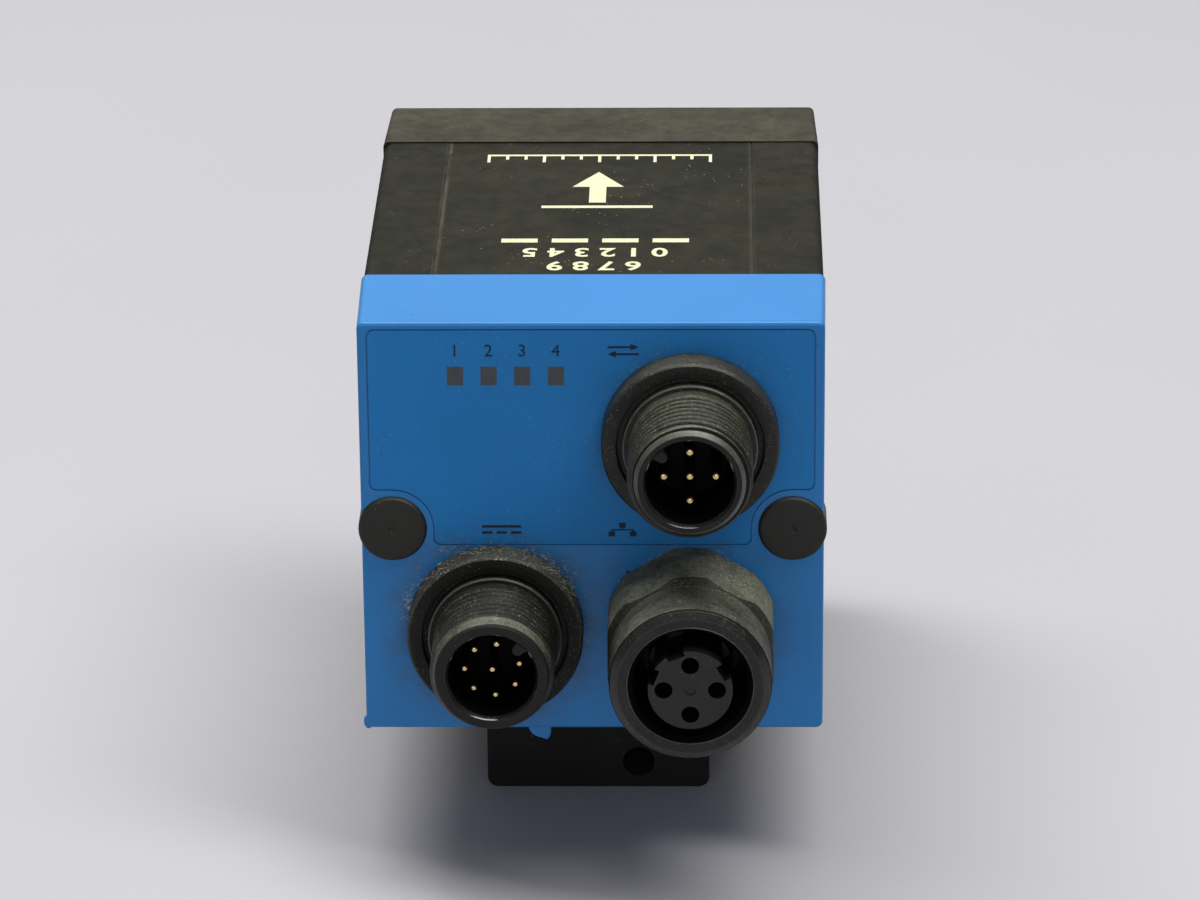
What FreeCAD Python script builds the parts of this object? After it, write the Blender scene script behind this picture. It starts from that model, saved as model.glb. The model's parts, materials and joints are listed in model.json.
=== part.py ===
import FreeCAD, Part
import Sketcher
import math
import os

# Machine vision camera (vision sensor) on a dovetail clamp block.
# Frame: +X to the right seen from the connector side, +Y from the connector side
# towards the lens, +Z up.  Origin: middle of the footprint of the whole part,
# on the surface that the clamp block stands on.  Millimetres.

os.makedirs("parts", exist_ok=True)
V = FreeCAD.Vector
doc = FreeCAD.newDocument("vision_camera")
sheet = doc.addObject("Spreadsheet::Sheet", "dims")

TABLE = [
    # casing
    ("body_w", 45.0, "housing width"),
    ("face_w", 44.8, "rear cover width at its rear face"),
    ("seam_w", 45.3, "rear cover width at the housing seam"),
    ("frame_w", 45.2, "front frame width at the housing seam"),
    ("front_w", 44.6, "front frame width at its front face"),
    ("base_z", 13.8, "underside of the rear cover above the surface"),
    ("face_tall", 42.7, "height of the rear face"),
    ("draft_z", 0.1, "growth of the rear cover above and below, at the seam"),
    ("face_y", -25.6, "rear face plane"),
    ("seam_y", -12.8, "rear cover / housing seam"),
    ("frame_y", 26.4, "housing / front frame seam"),
    ("front_y", 38.4, "front face plane"),
    ("wall", 2.0, "casing wall"),
    ("face_wall", 2.4, "rear face wall"),
    ("corner_r", 1.0, "housing long edge radius"),
    ("frame_r", 0.6, "front frame long edge radius"),
    ("mid_y", 1.0, "from the drawing datum to the middle of the footprint"),
    ("cover_r", 0.7, "rear cover long edge radius"),
    ("lip_r", 0.4, "rear cover upper rear edge radius"),
    # connectors
    ("grid_x", 9.5, "connector axis from the middle"),
    ("power_h", 11.0, "power connector axis above the rear cover's underside"),
    ("lan_h", 10.9, "network connector axis"),
    ("data_h", 31.0, "data connector axis"),
    ("thread_r", 6.0, "M12 thread outer radius"),
    ("male_bore_r", 4.25, "bore of a male connector"),
    ("flange_r", 8.55, "flange radius of a male connector"),
    ("flange_len", 3.0, "flange thickness"),
    ("collar_r", 6.5, "collar behind the thread"),
    ("collar_len", 3.4, "collar front from the rear face"),
    ("shank_r", 6.5, "shank through the rear cover"),
    ("male_len", 12.2, "male connector length outside"),
    ("lan_len", 14.0, "network connector collar length outside"),
    ("lan_reach", 14.8, "network connector insert front from the rear face"),
    ("lan_hex_len", 7.1, "length of the network connector's hexagon"),
    ("lan_hex_r", 8.42, "turned radius of the network connector's hexagon"),
    ("lan_flat", 16.0, "across flats of the network connector's hexagon"),
    ("lan_collar_r", 7.8, "network connector collar radius"),
    ("lan_bore_r", 5.5, "network connector bore radius"),
    ("lan_insert_r", 4.05, "network connector insert radius"),
    ("nut_flat", 15.0, "connector nut across flats"),
    ("data_pin_r", 0.5, "data pin radius"),
    ("data_pin_pcr", 2.5, "data pin circle radius"),
    ("power_pin_r", 0.4, "power pin radius"),
    ("power_pin_pcr", 2.7, "power pin circle radius"),
    ("lan_hole_pcr", 2.55, "network contact circle radius"),
    # plugs and adjustment
    ("plug_x", 19.4, "plug axis from the middle"),
    ("plug_h", 21.35, "plug axis above the rear cover's underside"),
    ("plug_r", 3.3, "plug radius"),
    ("plug_gap", 0.06, "radial running clearance of a plug"),
    ("plug_proud", 0.4, "plug head above the rear face"),
    ("screw_x", 18.4, "axis of the focus screw and of the cover screw opposite"),
    # label and status windows
    ("label_x", 21.4, "label half width"),
    ("label_top", 41.9, "label top edge above the underside"),
    ("label_step", 25.45, "label shoulder"),
    ("label_low", 19.7, "label lower edge"),
    ("label_arc", 4.1, "label arc around a plug"),
    ("label_cut", 0.2, "label recess depth"),
    ("label_thick", 0.17, "label thickness"),
    ("led_w", 1.57, "status window width"),
    ("led_tall", 1.95, "status window height"),
    ("led_h", 37.2, "status windows above the underside"),
    ("led_first", -13.05, "first status window"),
    ("led_pitch", 3.23, "status window pitch"),
    # rail and clamp
    ("neck_w", 9.0, "dovetail rail width at the housing"),
    ("rail_w", 12.0, "dovetail rail width at its foot"),
    ("rail_tall", 2.3, "dovetail rail height"),
    ("clamp_w", 22.5, "clamp block width"),
    ("clamp_y", -10.1, "clamp block rear face"),
    ("clamp_len", 27.0, "clamp block length"),
    ("clamp_tall", 13.5, "clamp block height"),
    ("clamp_split", 6.7, "height of the joint under the clamp jaw"),
    ("clamp_hole_x", 4.1, "rear hole of the clamp block"),
    ("clamp_hole_h", 2.8, "rear hole height"),
    ("clamp_hole_r", 1.6, "rear hole radius"),
    ("tap_r", 1.65, "tapped hole radius under the block"),
    ("tap_pitch", 10.0, "pitch of the tapped holes"),
    # inside
    ("focus_pitch", 0.5, "focus screw thread pitch"),
    ("rod_x", 12.5, "guide rod axis from the middle"),
    ("rod_r", 1.0, "guide rod radius"),
    ("barrel_r", 7.0, "lens barrel radius"),
    ("glass_x", 17.8, "front window half width"),
    ("board_thick", 1.2, "circuit board thickness"),
]
for row, (alias, value, note) in enumerate(TABLE, 1):
    sheet.set("A%d" % row, alias)
    sheet.set("B%d" % row, "%.4f" % value)
    sheet.set("C%d" % row, note)
    sheet.setAlias("B%d" % row, alias)
doc.recompute()


class Q:
    """A length that knows its number and its formula over the sheet."""

    def __init__(self, v, e):
        self.v = float(v)
        self.e = e

    def __add__(self, o):
        o = q(o)
        return Q(self.v + o.v, "(%s + %s)" % (self.e, o.e))

    def __radd__(self, o):
        return q(o) + self

    def __sub__(self, o):
        o = q(o)
        return Q(self.v - o.v, "(%s - %s)" % (self.e, o.e))

    def __rsub__(self, o):
        return q(o) - self

    def __mul__(self, o):
        o = q(o)
        return Q(self.v * o.v, "(%s * %s)" % (self.e, o.e))

    def __rmul__(self, o):
        return q(o) * self

    def __truediv__(self, o):
        o = q(o)
        return Q(self.v / o.v, "(%s / %s)" % (self.e, o.e))

    def __neg__(self):
        return Q(-self.v, "(0 - %s)" % self.e)


def q(o):
    return o if isinstance(o, Q) else Q(o, "%.5f" % float(o))


class Dims:
    pass


d = Dims()
for alias, value, note in TABLE:
    setattr(d, alias, Q(value, "dims." + alias))

NODES = {}


def setp(obj, prop, val):
    val = q(val)
    setattr(obj, prop, val.v)
    if "dims." in val.e:
        obj.setExpression(prop, val.e)


def place(obj, x, y, z, axis=None, angle=0.0):
    x, y, z = q(x), q(y), q(z)
    rot = FreeCAD.Rotation(axis, angle) if axis else FreeCAD.Rotation()
    obj.Placement = FreeCAD.Placement(V(x.v, y.v, z.v), rot)
    for name, val in (("x", x), ("y", y), ("z", z)):
        if "dims." in val.e:
            obj.setExpression("Placement.Base." + name, val.e)
    return obj


def node(obj, label):
    obj.Label = label
    NODES[label] = obj
    return obj


def box(name, x0, x1, y0, y1, z0, z1):
    o = doc.addObject("Part::Box", name)
    setp(o, "Length", q(x1) - x0)
    setp(o, "Width", q(y1) - y0)
    setp(o, "Height", q(z1) - z0)
    return place(o, x0, y0, z0)


def wedge(name, a, b, y0, y1):
    """Drafted block along Y: a and b are (x0, x1, z0, z1) at y0 and y1."""
    o = doc.addObject("Part::Wedge", name)
    for prop, val in (("Xmin", a[0]), ("Xmax", a[1]), ("Zmin", a[2]), ("Zmax", a[3]),
                      ("X2min", b[0]), ("X2max", b[1]), ("Z2min", b[2]), ("Z2max", b[3]),
                      ("Ymin", y0), ("Ymax", y1)):
        setp(o, prop, val)
    return o


def cyl_y(name, r, x, y0, y1, z):
    o = doc.addObject("Part::Cylinder", name)
    setp(o, "Radius", r)
    setp(o, "Height", q(y1) - y0)
    return place(o, x, y0, z, V(1, 0, 0), -90)


def cyl_x(name, r, x0, x1, y, z):
    o = doc.addObject("Part::Cylinder", name)
    setp(o, "Radius", r)
    setp(o, "Height", q(x1) - x0)
    return place(o, x0, y, z, V(0, 1, 0), 90)


def cyl_z(name, r, x, y, z0, z1):
    o = doc.addObject("Part::Cylinder", name)
    setp(o, "Radius", r)
    setp(o, "Height", q(z1) - z0)
    return place(o, x, y, z0)


def hex_y(name, flat, x, y0, y1, z):
    """Hexagonal prism along Y with flats above and below."""
    o = doc.addObject("Part::Prism", name)
    o.Polygon = 6
    setp(o, "Circumradius", q(flat) / 2 / math.cos(math.pi / 6))
    setp(o, "Height", q(y1) - y0)
    return place(o, x, y0, z, V(1, 0, 0), -90)


def fuse(name, shapes):
    o = doc.addObject("Part::MultiFuse", name)
    o.Shapes = shapes
    o.Refine = True
    return o


def cut(name, base, tool):
    if isinstance(tool, (list, tuple)):
        tool = fuse(name + "_tools", list(tool)) if len(tool) > 1 else tool[0]
    o = doc.addObject("Part::Cut", name)
    o.Base = base
    o.Tool = tool
    o.Refine = True
    return o


def comp(name, objs):
    o = doc.addObject("Part::Compound", name)
    o.Links = objs
    return o


def fillet(name, base, picks):
    """picks: list of (test, radius); each edge takes the first radius whose test it meets."""
    doc.recompute()
    edges = []
    for i, e in enumerate(base.Shape.Edges, 1):
        for test, r in picks:
            if test(e):
                edges.append((i, q(r).v, q(r).v))
                break
    o = doc.addObject("Part::Fillet", name)
    o.Base = base
    o.Edges = edges
    return o


def near(a, b, tol=0.02):
    return abs(a - b) < tol


def along(e, k):
    """True if a straight edge runs nearly along axis k."""
    if len(e.Vertexes) < 2:
        return False
    p, r = e.Vertexes[0].Point, e.Vertexes[-1].Point
    v = r - p
    return v.Length > 1e-6 and abs(v[k]) / v.Length > 0.99


# ---------------------------------------------------------------- sketches
def plane(body, role):
    for f in body.Origin.OriginFeatures:
        if f.Role == role:
            return f
    raise RuntimeError(role)


def sketch(body, name, role="XZ_Plane", offset=None):
    sk = body.newObject("Sketcher::SketchObject", name)
    sk.AttachmentSupport = (plane(body, role), [""])
    sk.MapMode = "FlatFace"
    if offset is not None:
        offset = q(offset)
        sk.AttachmentOffset = FreeCAD.Placement(V(0, 0, offset.v), FreeCAD.Rotation())
        if "dims." in offset.e:
            sk.setExpression("AttachmentOffset.Base.z", offset.e)
    return sk


def add_poly(sk, pts):
    """Closed outline; each corner is held from the sketch origin."""
    pts = [(q(a), q(b)) for a, b in pts]
    n = len(pts)
    first = sk.GeometryCount
    for i in range(n):
        a, b = pts[i], pts[(i + 1) % n]
        sk.addGeometry(Part.LineSegment(V(a[0].v, a[1].v, 0), V(b[0].v, b[1].v, 0)), False)
    for i in range(n):
        sk.addConstraint(Sketcher.Constraint("Coincident", first + i, 2, first + (i + 1) % n, 1))
    for i in range(n):
        for kind, val in (("DistanceX", pts[i][0]), ("DistanceY", pts[i][1])):
            c = sk.addConstraint(Sketcher.Constraint(kind, -1, 1, first + i, 1, val.v))
            if "dims." in val.e:
                sk.setExpression("Constraints[%d]" % c, val.e)


def add_circle(sk, x, y, r):
    x, y, r = q(x), q(y), q(r)
    g = sk.addGeometry(Part.Circle(V(x.v, y.v, 0), V(0, 0, 1), r.v), False)
    for con, val in ((("DistanceX", -1, 1, g, 3, x.v), x), (("DistanceY", -1, 1, g, 3, y.v), y),
                     (("Radius", g, r.v), r)):
        c = sk.addConstraint(Sketcher.Constraint(*con))
        if "dims." in val.e:
            sk.setExpression("Constraints[%d]" % c, val.e)


def rect(x0, x1, y0, y1):
    return [(x0, y0), (x1, y0), (x1, y1), (x0, y1)]


def pad(body, name, sk, length, toward_plus_y=True):
    f = body.newObject("PartDesign::Pad", name)
    f.Profile = sk
    setp(f, "Length", length)
    f.Reversed = toward_plus_y
    return f


def pocket(body, name, sk, length, toward_plus_y=True):
    """A pocket cuts against the sketch normal, so +Y needs no reversal on the XZ plane."""
    f = body.newObject("PartDesign::Pocket", name)
    f.Profile = sk
    setp(f, "Length", length)
    f.Reversed = not toward_plus_y
    return f


def turned(label, pts, x=0, z=0, place_it=True):
    """A turned piece: pts are (radius, y) pairs, the axis runs along Y through (x, z)."""
    body = doc.addObject("PartDesign::Body", label + "_body")
    sk = sketch(body, label + "_profile", "XY_Plane")
    add_poly(sk, pts)
    rev = body.newObject("PartDesign::Revolution", label + "_turn")
    rev.Profile = sk
    rev.ReferenceAxis = (sk, ["V_Axis"])
    rev.Angle = 360
    body.Tip = rev
    place(body, x, 0, z)
    return body


def pd_fillet(body, name, base, test, radius):
    doc.recompute()
    names = ["Edge%d" % (i + 1) for i, e in enumerate(base.Shape.Edges) if test(e)]
    f = body.newObject("PartDesign::Fillet", name)
    f.Base = (base, names)
    setp(f, "Radius", radius)
    body.Tip = f
    return f


# common levels
base_z, face_y, seam_y, frame_y, front_y = d.base_z, d.face_y, d.seam_y, d.frame_y, d.front_y
top_z = base_z + d.face_tall
axis_z = base_z + d.plug_h                 # optical axis, plugs and focus screw
power_x, power_z = -d.grid_x, base_z + d.power_h
lan_x, lan_z = d.grid_x, base_z + d.lan_h
data_x, data_z = d.grid_x, base_z + d.data_h
in_y = face_y + d.face_wall                # inner side of the rear face
board_y = q(-14.6)                         # connector board, rear side
screw_up = top_z - 4.5                     # upper cover screws
screw_out = q(17.5)

# ------------------------------------------------------------- rear cover
cover_block = wedge("cover_block",
                    (-d.face_w / 2, d.face_w / 2, base_z, top_z),
                    (-d.seam_w / 2, d.seam_w / 2, base_z - d.draft_z, top_z + d.draft_z),
                    face_y, seam_y)


def rear_edge(z, e):
    c = e.CenterOfMass
    return near(c.y, face_y.v, 0.05) and near(c.z, z, 0.05) and along(e, 0)


def side_rear_edge(e):
    return near(e.CenterOfMass.y, face_y.v, 0.05) and along(e, 2)


cover_round = fillet("cover_round", cover_block, [
    (lambda e: along(e, 1), d.cover_r),
    (lambda e: rear_edge(top_z.v, e), d.lip_r),
    (lambda e: rear_edge(base_z.v, e), 0.3),
    (side_rear_edge, 0.25)])

cover_cavity = box("cover_cavity", -d.seam_w / 2 + d.wall + 0.25, d.seam_w / 2 - d.wall - 0.25,
                   in_y, seam_y + 0.5, base_z + d.wall, top_z - d.wall)
bosses = []
for side, sx in (("left", -1), ("right", 1)):
    bosses.append(cyl_y("plug_boss_" + side, 4.8, sx * d.plug_x, in_y - 0.1, -15.4, axis_z))
    a, b = sx * (screw_out - 2.0), sx * (screw_out + 4.0)
    lo, hi = (a, b) if sx > 0 else (b, a)
    bosses.append(box("cover_boss_" + side, lo, hi, in_y - 0.1, seam_y + 0.6, screw_up - 2.4, top_z))
cover_hollow = cut("cover_hollow", cover_cavity, bosses)


def label_outline(name, y0, y1, gap):
    """Label outline: wide above, stepping in around the plugs, narrow below."""
    upper = box(name + "_upper", -d.label_x - gap, d.label_x + gap, y0, y1,
                base_z + d.label_step - gap, base_z + d.label_top + gap)
    mid = box(name + "_mid", -d.plug_x, d.plug_x, y0, y1, base_z + d.plug_h,
              base_z + d.label_step + 2)
    low = box(name + "_low", -(d.plug_x - d.label_arc) - gap, d.plug_x - d.label_arc + gap, y0, y1,
              base_z + d.label_low - gap, base_z + d.label_step + 1)
    whole = fuse(name + "_whole", [upper, mid, low])
    arcs = [cyl_y(name + "_arc_l", d.label_arc - gap, -d.plug_x, y0 - 1, y1 + 1, axis_z),
            cyl_y(name + "_arc_r", d.label_arc - gap, d.plug_x, y0 - 1, y1 + 1, axis_z)]
    shaped = cut(name + "_shaped", whole, arcs)

    def corner(e):
        c = e.CenterOfMass
        if not along(e, 1):
            return False
        zs = (base_z + d.label_top + gap).v, (base_z + d.label_low - gap).v
        side = near(abs(c.x), (d.label_x + gap).v, 0.05)
        low_side = near(abs(c.x), (d.plug_x - d.label_arc + gap).v, 0.05) and near(c.z, zs[1], 0.05)
        return side or low_side

    return fillet(name + "_round", shaped, [(corner, 0.7)])


recess = label_outline("recess", face_y - 1, face_y + d.label_cut, 0.14)
holes = [recess]
for nm, cx, cz in (("power", power_x, power_z), ("lan", lan_x, lan_z), ("data", data_x, data_z)):
    holes.append(cyl_y("panel_hole_" + nm, d.shank_r + 0.05, cx, face_y - 2, in_y + 1, cz))
for side, sx in (("left", -1), ("right", 1)):
    holes.append(cyl_y("plug_pocket_" + side, d.plug_r + d.plug_gap, sx * d.plug_x, face_y - 2,
                       face_y + 4.2, axis_z))
    holes.append(cyl_y("screw_well_" + side, 2.2, sx * d.screw_x, face_y + 4.1, -19.2, axis_z))
    holes.append(cyl_y("screw_way_" + side, 1.05, sx * d.screw_x, -19.3, -15.0, axis_z))
    holes.append(cyl_y("cover_seat_" + side, 2.0, sx * screw_out, face_y - 1, -23.8, screw_up))
    holes.append(cyl_y("cover_way_" + side, 1.05, sx * screw_out, -23.9, seam_y + 1, screw_up))
for i in range(4):
    holes.append(cyl_y("light_hole_%d" % i, 0.9, d.led_first + i * d.led_pitch, face_y - 1,
                       in_y + 1, base_z + d.led_h))
cover_cut = cut("cover_cut", cover_round, [cover_hollow] + holes)
node(cover_cut, "rear_cover")

# ------------------------------------------------------- label and windows
label_solid = label_outline("label", face_y + d.label_cut - d.label_thick, face_y + d.label_cut, 0.0)
label_holes = [cyl_y("label_data_hole", 7.0, data_x, face_y - 1, face_y + 1, data_z)]
windows = []
for i in range(4):
    wx = d.led_first + i * d.led_pitch
    args = (wx - d.led_w / 2, wx + d.led_w / 2)
    zz = (base_z + d.led_h - d.led_tall / 2, base_z + d.led_h + d.led_tall / 2)
    label_holes.append(box("window_cut_%d" % i, args[0], args[1], face_y - 1, face_y + 1, zz[0], zz[1]))
    windows.append(box("window_%d" % i, args[0], args[1], face_y + d.label_cut - d.label_thick,
                       face_y + d.label_cut, zz[0], zz[1]))
node(cut("label_cut_out", label_solid, label_holes), "rear_label")
node(comp("window_set", windows), "status_windows")

guide_bar = box("guide_bar", -15.0, -1.6, in_y, in_y + 1.2, base_z + d.led_h - 1.3, base_z + d.led_h + 1.3)
guides = [guide_bar]
for i in range(4):
    gx = d.led_first + i * d.led_pitch
    guides.append(cyl_y("guide_post_%d" % i, 0.88, gx, face_y + d.label_cut, in_y + 0.5, base_z + d.led_h))
    guides.append(cyl_y("guide_stem_%d" % i, 0.9, gx, in_y + 1.0, board_y - 0.8, base_z + d.led_h))
node(fuse("guide_all", guides), "light_guide")

# ------------------------------------------------------------------ plugs
for side, sx in (("left", -1), ("right", 1)):
    py = face_y - d.plug_proud
    node(turned("plug_" + side, [
        (0, py + 0.05), (0.3, py + 0.05), (0.42, py), (d.plug_r - 0.28, py), (d.plug_r, py + 0.28),
        (d.plug_r, face_y + 3.6), (d.plug_r - 0.3, face_y + 4.0), (0, face_y + 4.0)],
        sx * d.plug_x, axis_z), "plug_" + side)

# ---------------------------------------------------------------- housing
hz0, hz1 = base_z + 0.05, top_z - 0.05
iz0, iz1 = hz0 + d.wall, hz1 - d.wall
ix = d.body_w / 2 - d.wall
hlen = frame_y - seam_y
hb = doc.addObject("PartDesign::Body", "housing_body")
sk = sketch(hb, "housing_section", offset=-seam_y)
add_poly(sk, [(-d.body_w / 2, hz0), (-d.neck_w / 2, hz0), (-d.rail_w / 2, hz0 - d.rail_tall),
              (d.rail_w / 2, hz0 - d.rail_tall), (d.neck_w / 2, hz0), (d.body_w / 2, hz0),
              (d.body_w / 2, hz1), (-d.body_w / 2, hz1)])
hpad = pad(hb, "housing_extrusion", sk, hlen)
hfil = pd_fillet(hb, "housing_edges", hpad,
                 lambda e: along(e, 1) and near(abs(e.CenterOfMass.x), d.body_w.v / 2), d.corner_r)
sk = sketch(hb, "housing_inside", offset=-seam_y)
add_poly(sk, rect(-ix, ix, iz0, iz1))
pocket(hb, "housing_hollow", sk, hlen + 1)
sk = sketch(hb, "rear_boss_outline", offset=-seam_y)
add_poly(sk, rect(screw_out - 2.4, ix + 0.1, screw_up - 2.4, iz1 + 0.1))
add_poly(sk, rect(-ix - 0.1, -screw_out + 2.4, screw_up - 2.4, iz1 + 0.1))
add_poly(sk, rect(d.screw_x - 2.4, ix + 0.1, axis_z - 2.4, axis_z + 2.4))
pad(hb, "rear_bosses", sk, 8.8)
fx, fz0, fz1 = q(19.7), base_z + 3.3, top_z - 3.3     # front frame screws
sk = sketch(hb, "front_boss_outline", offset=-(frame_y - 8.0))
for a, b in ((fx - 2.1, ix + 0.1), (-ix - 0.1, -fx + 2.1)):
    add_poly(sk, rect(a, b, iz0 - 0.1, fz0 + 2.1))
    add_poly(sk, rect(a, b, fz1 - 2.1, iz1 + 0.1))
pad(hb, "front_bosses", sk, 8.0)
sk = sketch(hb, "rear_tap_outline", offset=-seam_y)
for tx, tz in ((screw_out, screw_up), (-screw_out, screw_up), (d.screw_x, axis_z)):
    add_circle(sk, tx, tz, 1.0)
pocket(hb, "rear_taps", sk, 8.0)
sk = sketch(hb, "front_tap_outline", offset=-(frame_y - 7.4))
for tx in (fx, -fx):
    for tz in (fz0, fz1):
        add_circle(sk, tx, tz, 1.0)
pocket(hb, "front_taps", sk, 8.0)
gi, go = ix + 0.6, ix + 1.4
for end, off in (("rear", -seam_y), ("front", -(frame_y - 0.8))):
    sk = sketch(hb, end + "_groove_outline", offset=off)
    add_poly(sk, rect(-go, go, iz0 - 1.4, iz1 + 1.4))
    add_poly(sk, rect(-gi, gi, iz0 - 0.6, iz1 + 0.6))
    pocket(hb, end + "_groove", sk, 0.8)
# floor screw holes of the chassis, into the rail
floor_holes = [cyl_z("floor_tap_a", 1.0, 0, 4.5, hz0 - 1.6, iz0 + 1), cyl_z("floor_tap_b", 1.0, 0, 20.0, hz0 - 1.6, iz0 + 1)]
# shallow field for the top label
top_field = box("top_field", -15.75, 15.75, seam_y - 1, frame_y + 1, hz1 - 0.16, hz1 + 1)
node(cut("housing_done", hb, floor_holes + [top_field]), "housing")
node(box("top_label_plate", -15.6, 15.6, seam_y + 0.05, frame_y - 0.05, hz1 - 0.16, hz1 - 0.02), "top_label")

for end, y0 in (("rear", seam_y), ("front", frame_y - 0.8)):
    ring_out = box(end + "_gasket_out", -go, go, y0, y0 + 0.8, iz0 - 1.4, iz1 + 1.4)
    ring_in = box(end + "_gasket_in", -gi, gi, y0 - 1, y0 + 2, iz0 - 0.6, iz1 + 0.6)
    node(cut(end + "_gasket_ring", ring_out, ring_in), end + "_gasket")

# ------------------------------------------------------------ front frame
fr_block = wedge("frame_block",
                 (-d.frame_w / 2, d.frame_w / 2, base_z - 0.1, top_z + 0.1),
                 (-d.front_w / 2, d.front_w / 2, base_z + 0.2, top_z - 0.2), frame_y, front_y)


def front_edge(e):
    return near(e.CenterOfMass.y, front_y.v, 0.05) and not along(e, 1)


fr_round = fillet("frame_round", fr_block, [(lambda e: along(e, 1), d.frame_r), (front_edge, 0.45)])
fr_cav = box("frame_cavity", -20.3, 20.3, frame_y - 1, 33.6, base_z + 2.3, top_z - 2.3)
fr_cols = []
for i, (cx, cz) in enumerate(((fx, fz0), (-fx, fz0), (fx, fz1), (-fx, fz1))):
    fr_cols.append(box("frame_column_%d" % i, cx - 2.1, cx + 2.1, frame_y - 2, 34.0, cz - 2.1, cz + 2.1))
fr_hollow = cut("frame_hollow", fr_cav, fr_cols)
gx = d.glass_x
gz0, gz1 = base_z + 4.9, top_z - 4.9
fr_seat = box("frame_seat", -gx - 0.1, gx + 0.1, 33.0, 36.8, gz0 - 0.1, gz1 + 0.1)
fr_open = wedge("frame_opening", (-gx + 1.2, gx - 1.2, gz0 + 1.2, gz1 - 1.2),
                (-gx + 0.5, gx - 0.5, gz0 + 0.5, gz1 - 0.5), 36.0, front_y + 0.2)
fr_holes = []
frame_screw_at = ((fx, fz0), (-fx, fz0), (fx, fz1), (-fx, fz1))
for i, (cx, cz) in enumerate(frame_screw_at):
    fr_holes.append(cyl_y("frame_way_%d" % i, 1.05, cx, frame_y - 1, 36.5, cz))
    fr_holes.append(cyl_y("frame_seat_%d" % i, 1.95, cx, 36.3, front_y + 1, cz))
node(cut("front_frame_done", fr_round, [fr_hollow, fr_seat, fr_open] + fr_holes), "front_frame")
node(box("window_glass", -gx, gx, 34.4, 36.4, gz0, gz1), "front_window")
node(cut("window_seal_ring", box("seal_out", -gx, gx, 36.4, 36.8, gz0, gz1),
         box("seal_in", -gx + 0.9, gx - 0.9, 36.0, 37.0, gz0 + 0.9, gz1 - 0.9)), "window_seal")


def screw_y(name, x, z, head_y, head_r, head_len, shank_r, end_y, socket, sign):
    """Screw along Y; sign -1: head towards -Y of head_y (its seat), +1: towards +Y."""
    hy, ey = q(head_y), q(end_y)
    if sign < 0:
        head = cyl_y(name + "_head", head_r, x, hy - head_len, hy, z)
        shank = cyl_y(name + "_shank", shank_r, x, hy - 0.1, ey, z)
        drive = hex_y(name + "_socket", socket, x, hy - head_len - 1, hy - head_len + 0.8, z)
    else:
        head = cyl_y(name + "_head", head_r, x, hy, hy + head_len, z)
        shank = cyl_y(name + "_shank", shank_r, x, ey, hy + 0.1, z)
        drive = hex_y(name + "_socket", socket, x, hy + head_len - 0.8, hy + head_len + 1, z)
    return cut(name, fuse(name + "_blank", [head, shank]), drive)


node(comp("cover_screw_set", [
    screw_y("cover_screw_l", -screw_out, screw_up, -23.8, 1.9, 1.4, 1.0, -5.6, 1.3, -1),
    screw_y("cover_screw_r", screw_out, screw_up, -23.8, 1.9, 1.4, 1.0, -5.6, 1.3, -1),
    screw_y("cover_screw_m", d.screw_x, axis_z, -19.2, 1.9, 1.4, 1.0, -5.6, 1.3, -1)]), "cover_screws")
node(comp("frame_screw_set", [
    screw_y("frame_screw_%d" % i, cx, cz, 36.3, 1.85, 1.6, 1.0, 19.6, 1.5, 1)
    for i, (cx, cz) in enumerate(frame_screw_at)]), "frame_screws")

# ------------------------------------------------------------- connectors
def male_profile():
    fy = face_y
    ty = face_y - d.male_len
    fl = face_y - d.flange_len
    return [(d.male_bore_r, -18.0), (d.shank_r, -18.0), (d.shank_r, fy), (6.9, fy), (6.9, fy - 0.5),
            (7.6, fy - 0.5), (7.6, fy), (d.flange_r, fy), (d.flange_r, fl + 0.3), (d.flange_r - 0.3, fl),
            (7.1, fl), (7.1, fl + 0.9), (d.collar_r, fl + 0.9), (d.collar_r, fy - d.collar_len + 0.1),
            (d.collar_r - 0.1, fy - d.collar_len), (d.thread_r, fy - d.collar_len),
            (d.thread_r, ty + 1.4), (d.thread_r - 0.6, ty + 0.7), (d.thread_r - 1.0, ty),
            (d.male_bore_r + 0.2, ty), (d.male_bore_r, ty + 0.3)]


def pins_at(name, cx, cz, r, pcr, angles, y0, y1, centre=True):
    out = []
    for i, ang in enumerate(angles):
        t = math.radians(ang)
        out.append(cyl_y("%s_%d" % (name, i), r, cx + pcr * math.cos(t), y0, y1, cz + pcr * math.sin(t)))
    if centre:
        out.append(cyl_y(name + "_c", r, cx, y0, y1, cz))
    return out


def nose(name, cx, cz, ang, y0, y1):
    """Key rib along a male bore at an angle seen from the connector side."""
    t = math.radians(ang)
    a, b, half = 3.5, 4.2, 0.5
    o = doc.addObject("Part::Box", name)
    setp(o, "Length", b - a)
    setp(o, "Width", q(y1) - y0)
    setp(o, "Height", 2 * half)
    return place(o, cx + (a * math.cos(t) + half * math.sin(t)), y0,
                 cz + (a * math.sin(t) - half * math.cos(t)), V(0, 1, 0), -ang)


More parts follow.
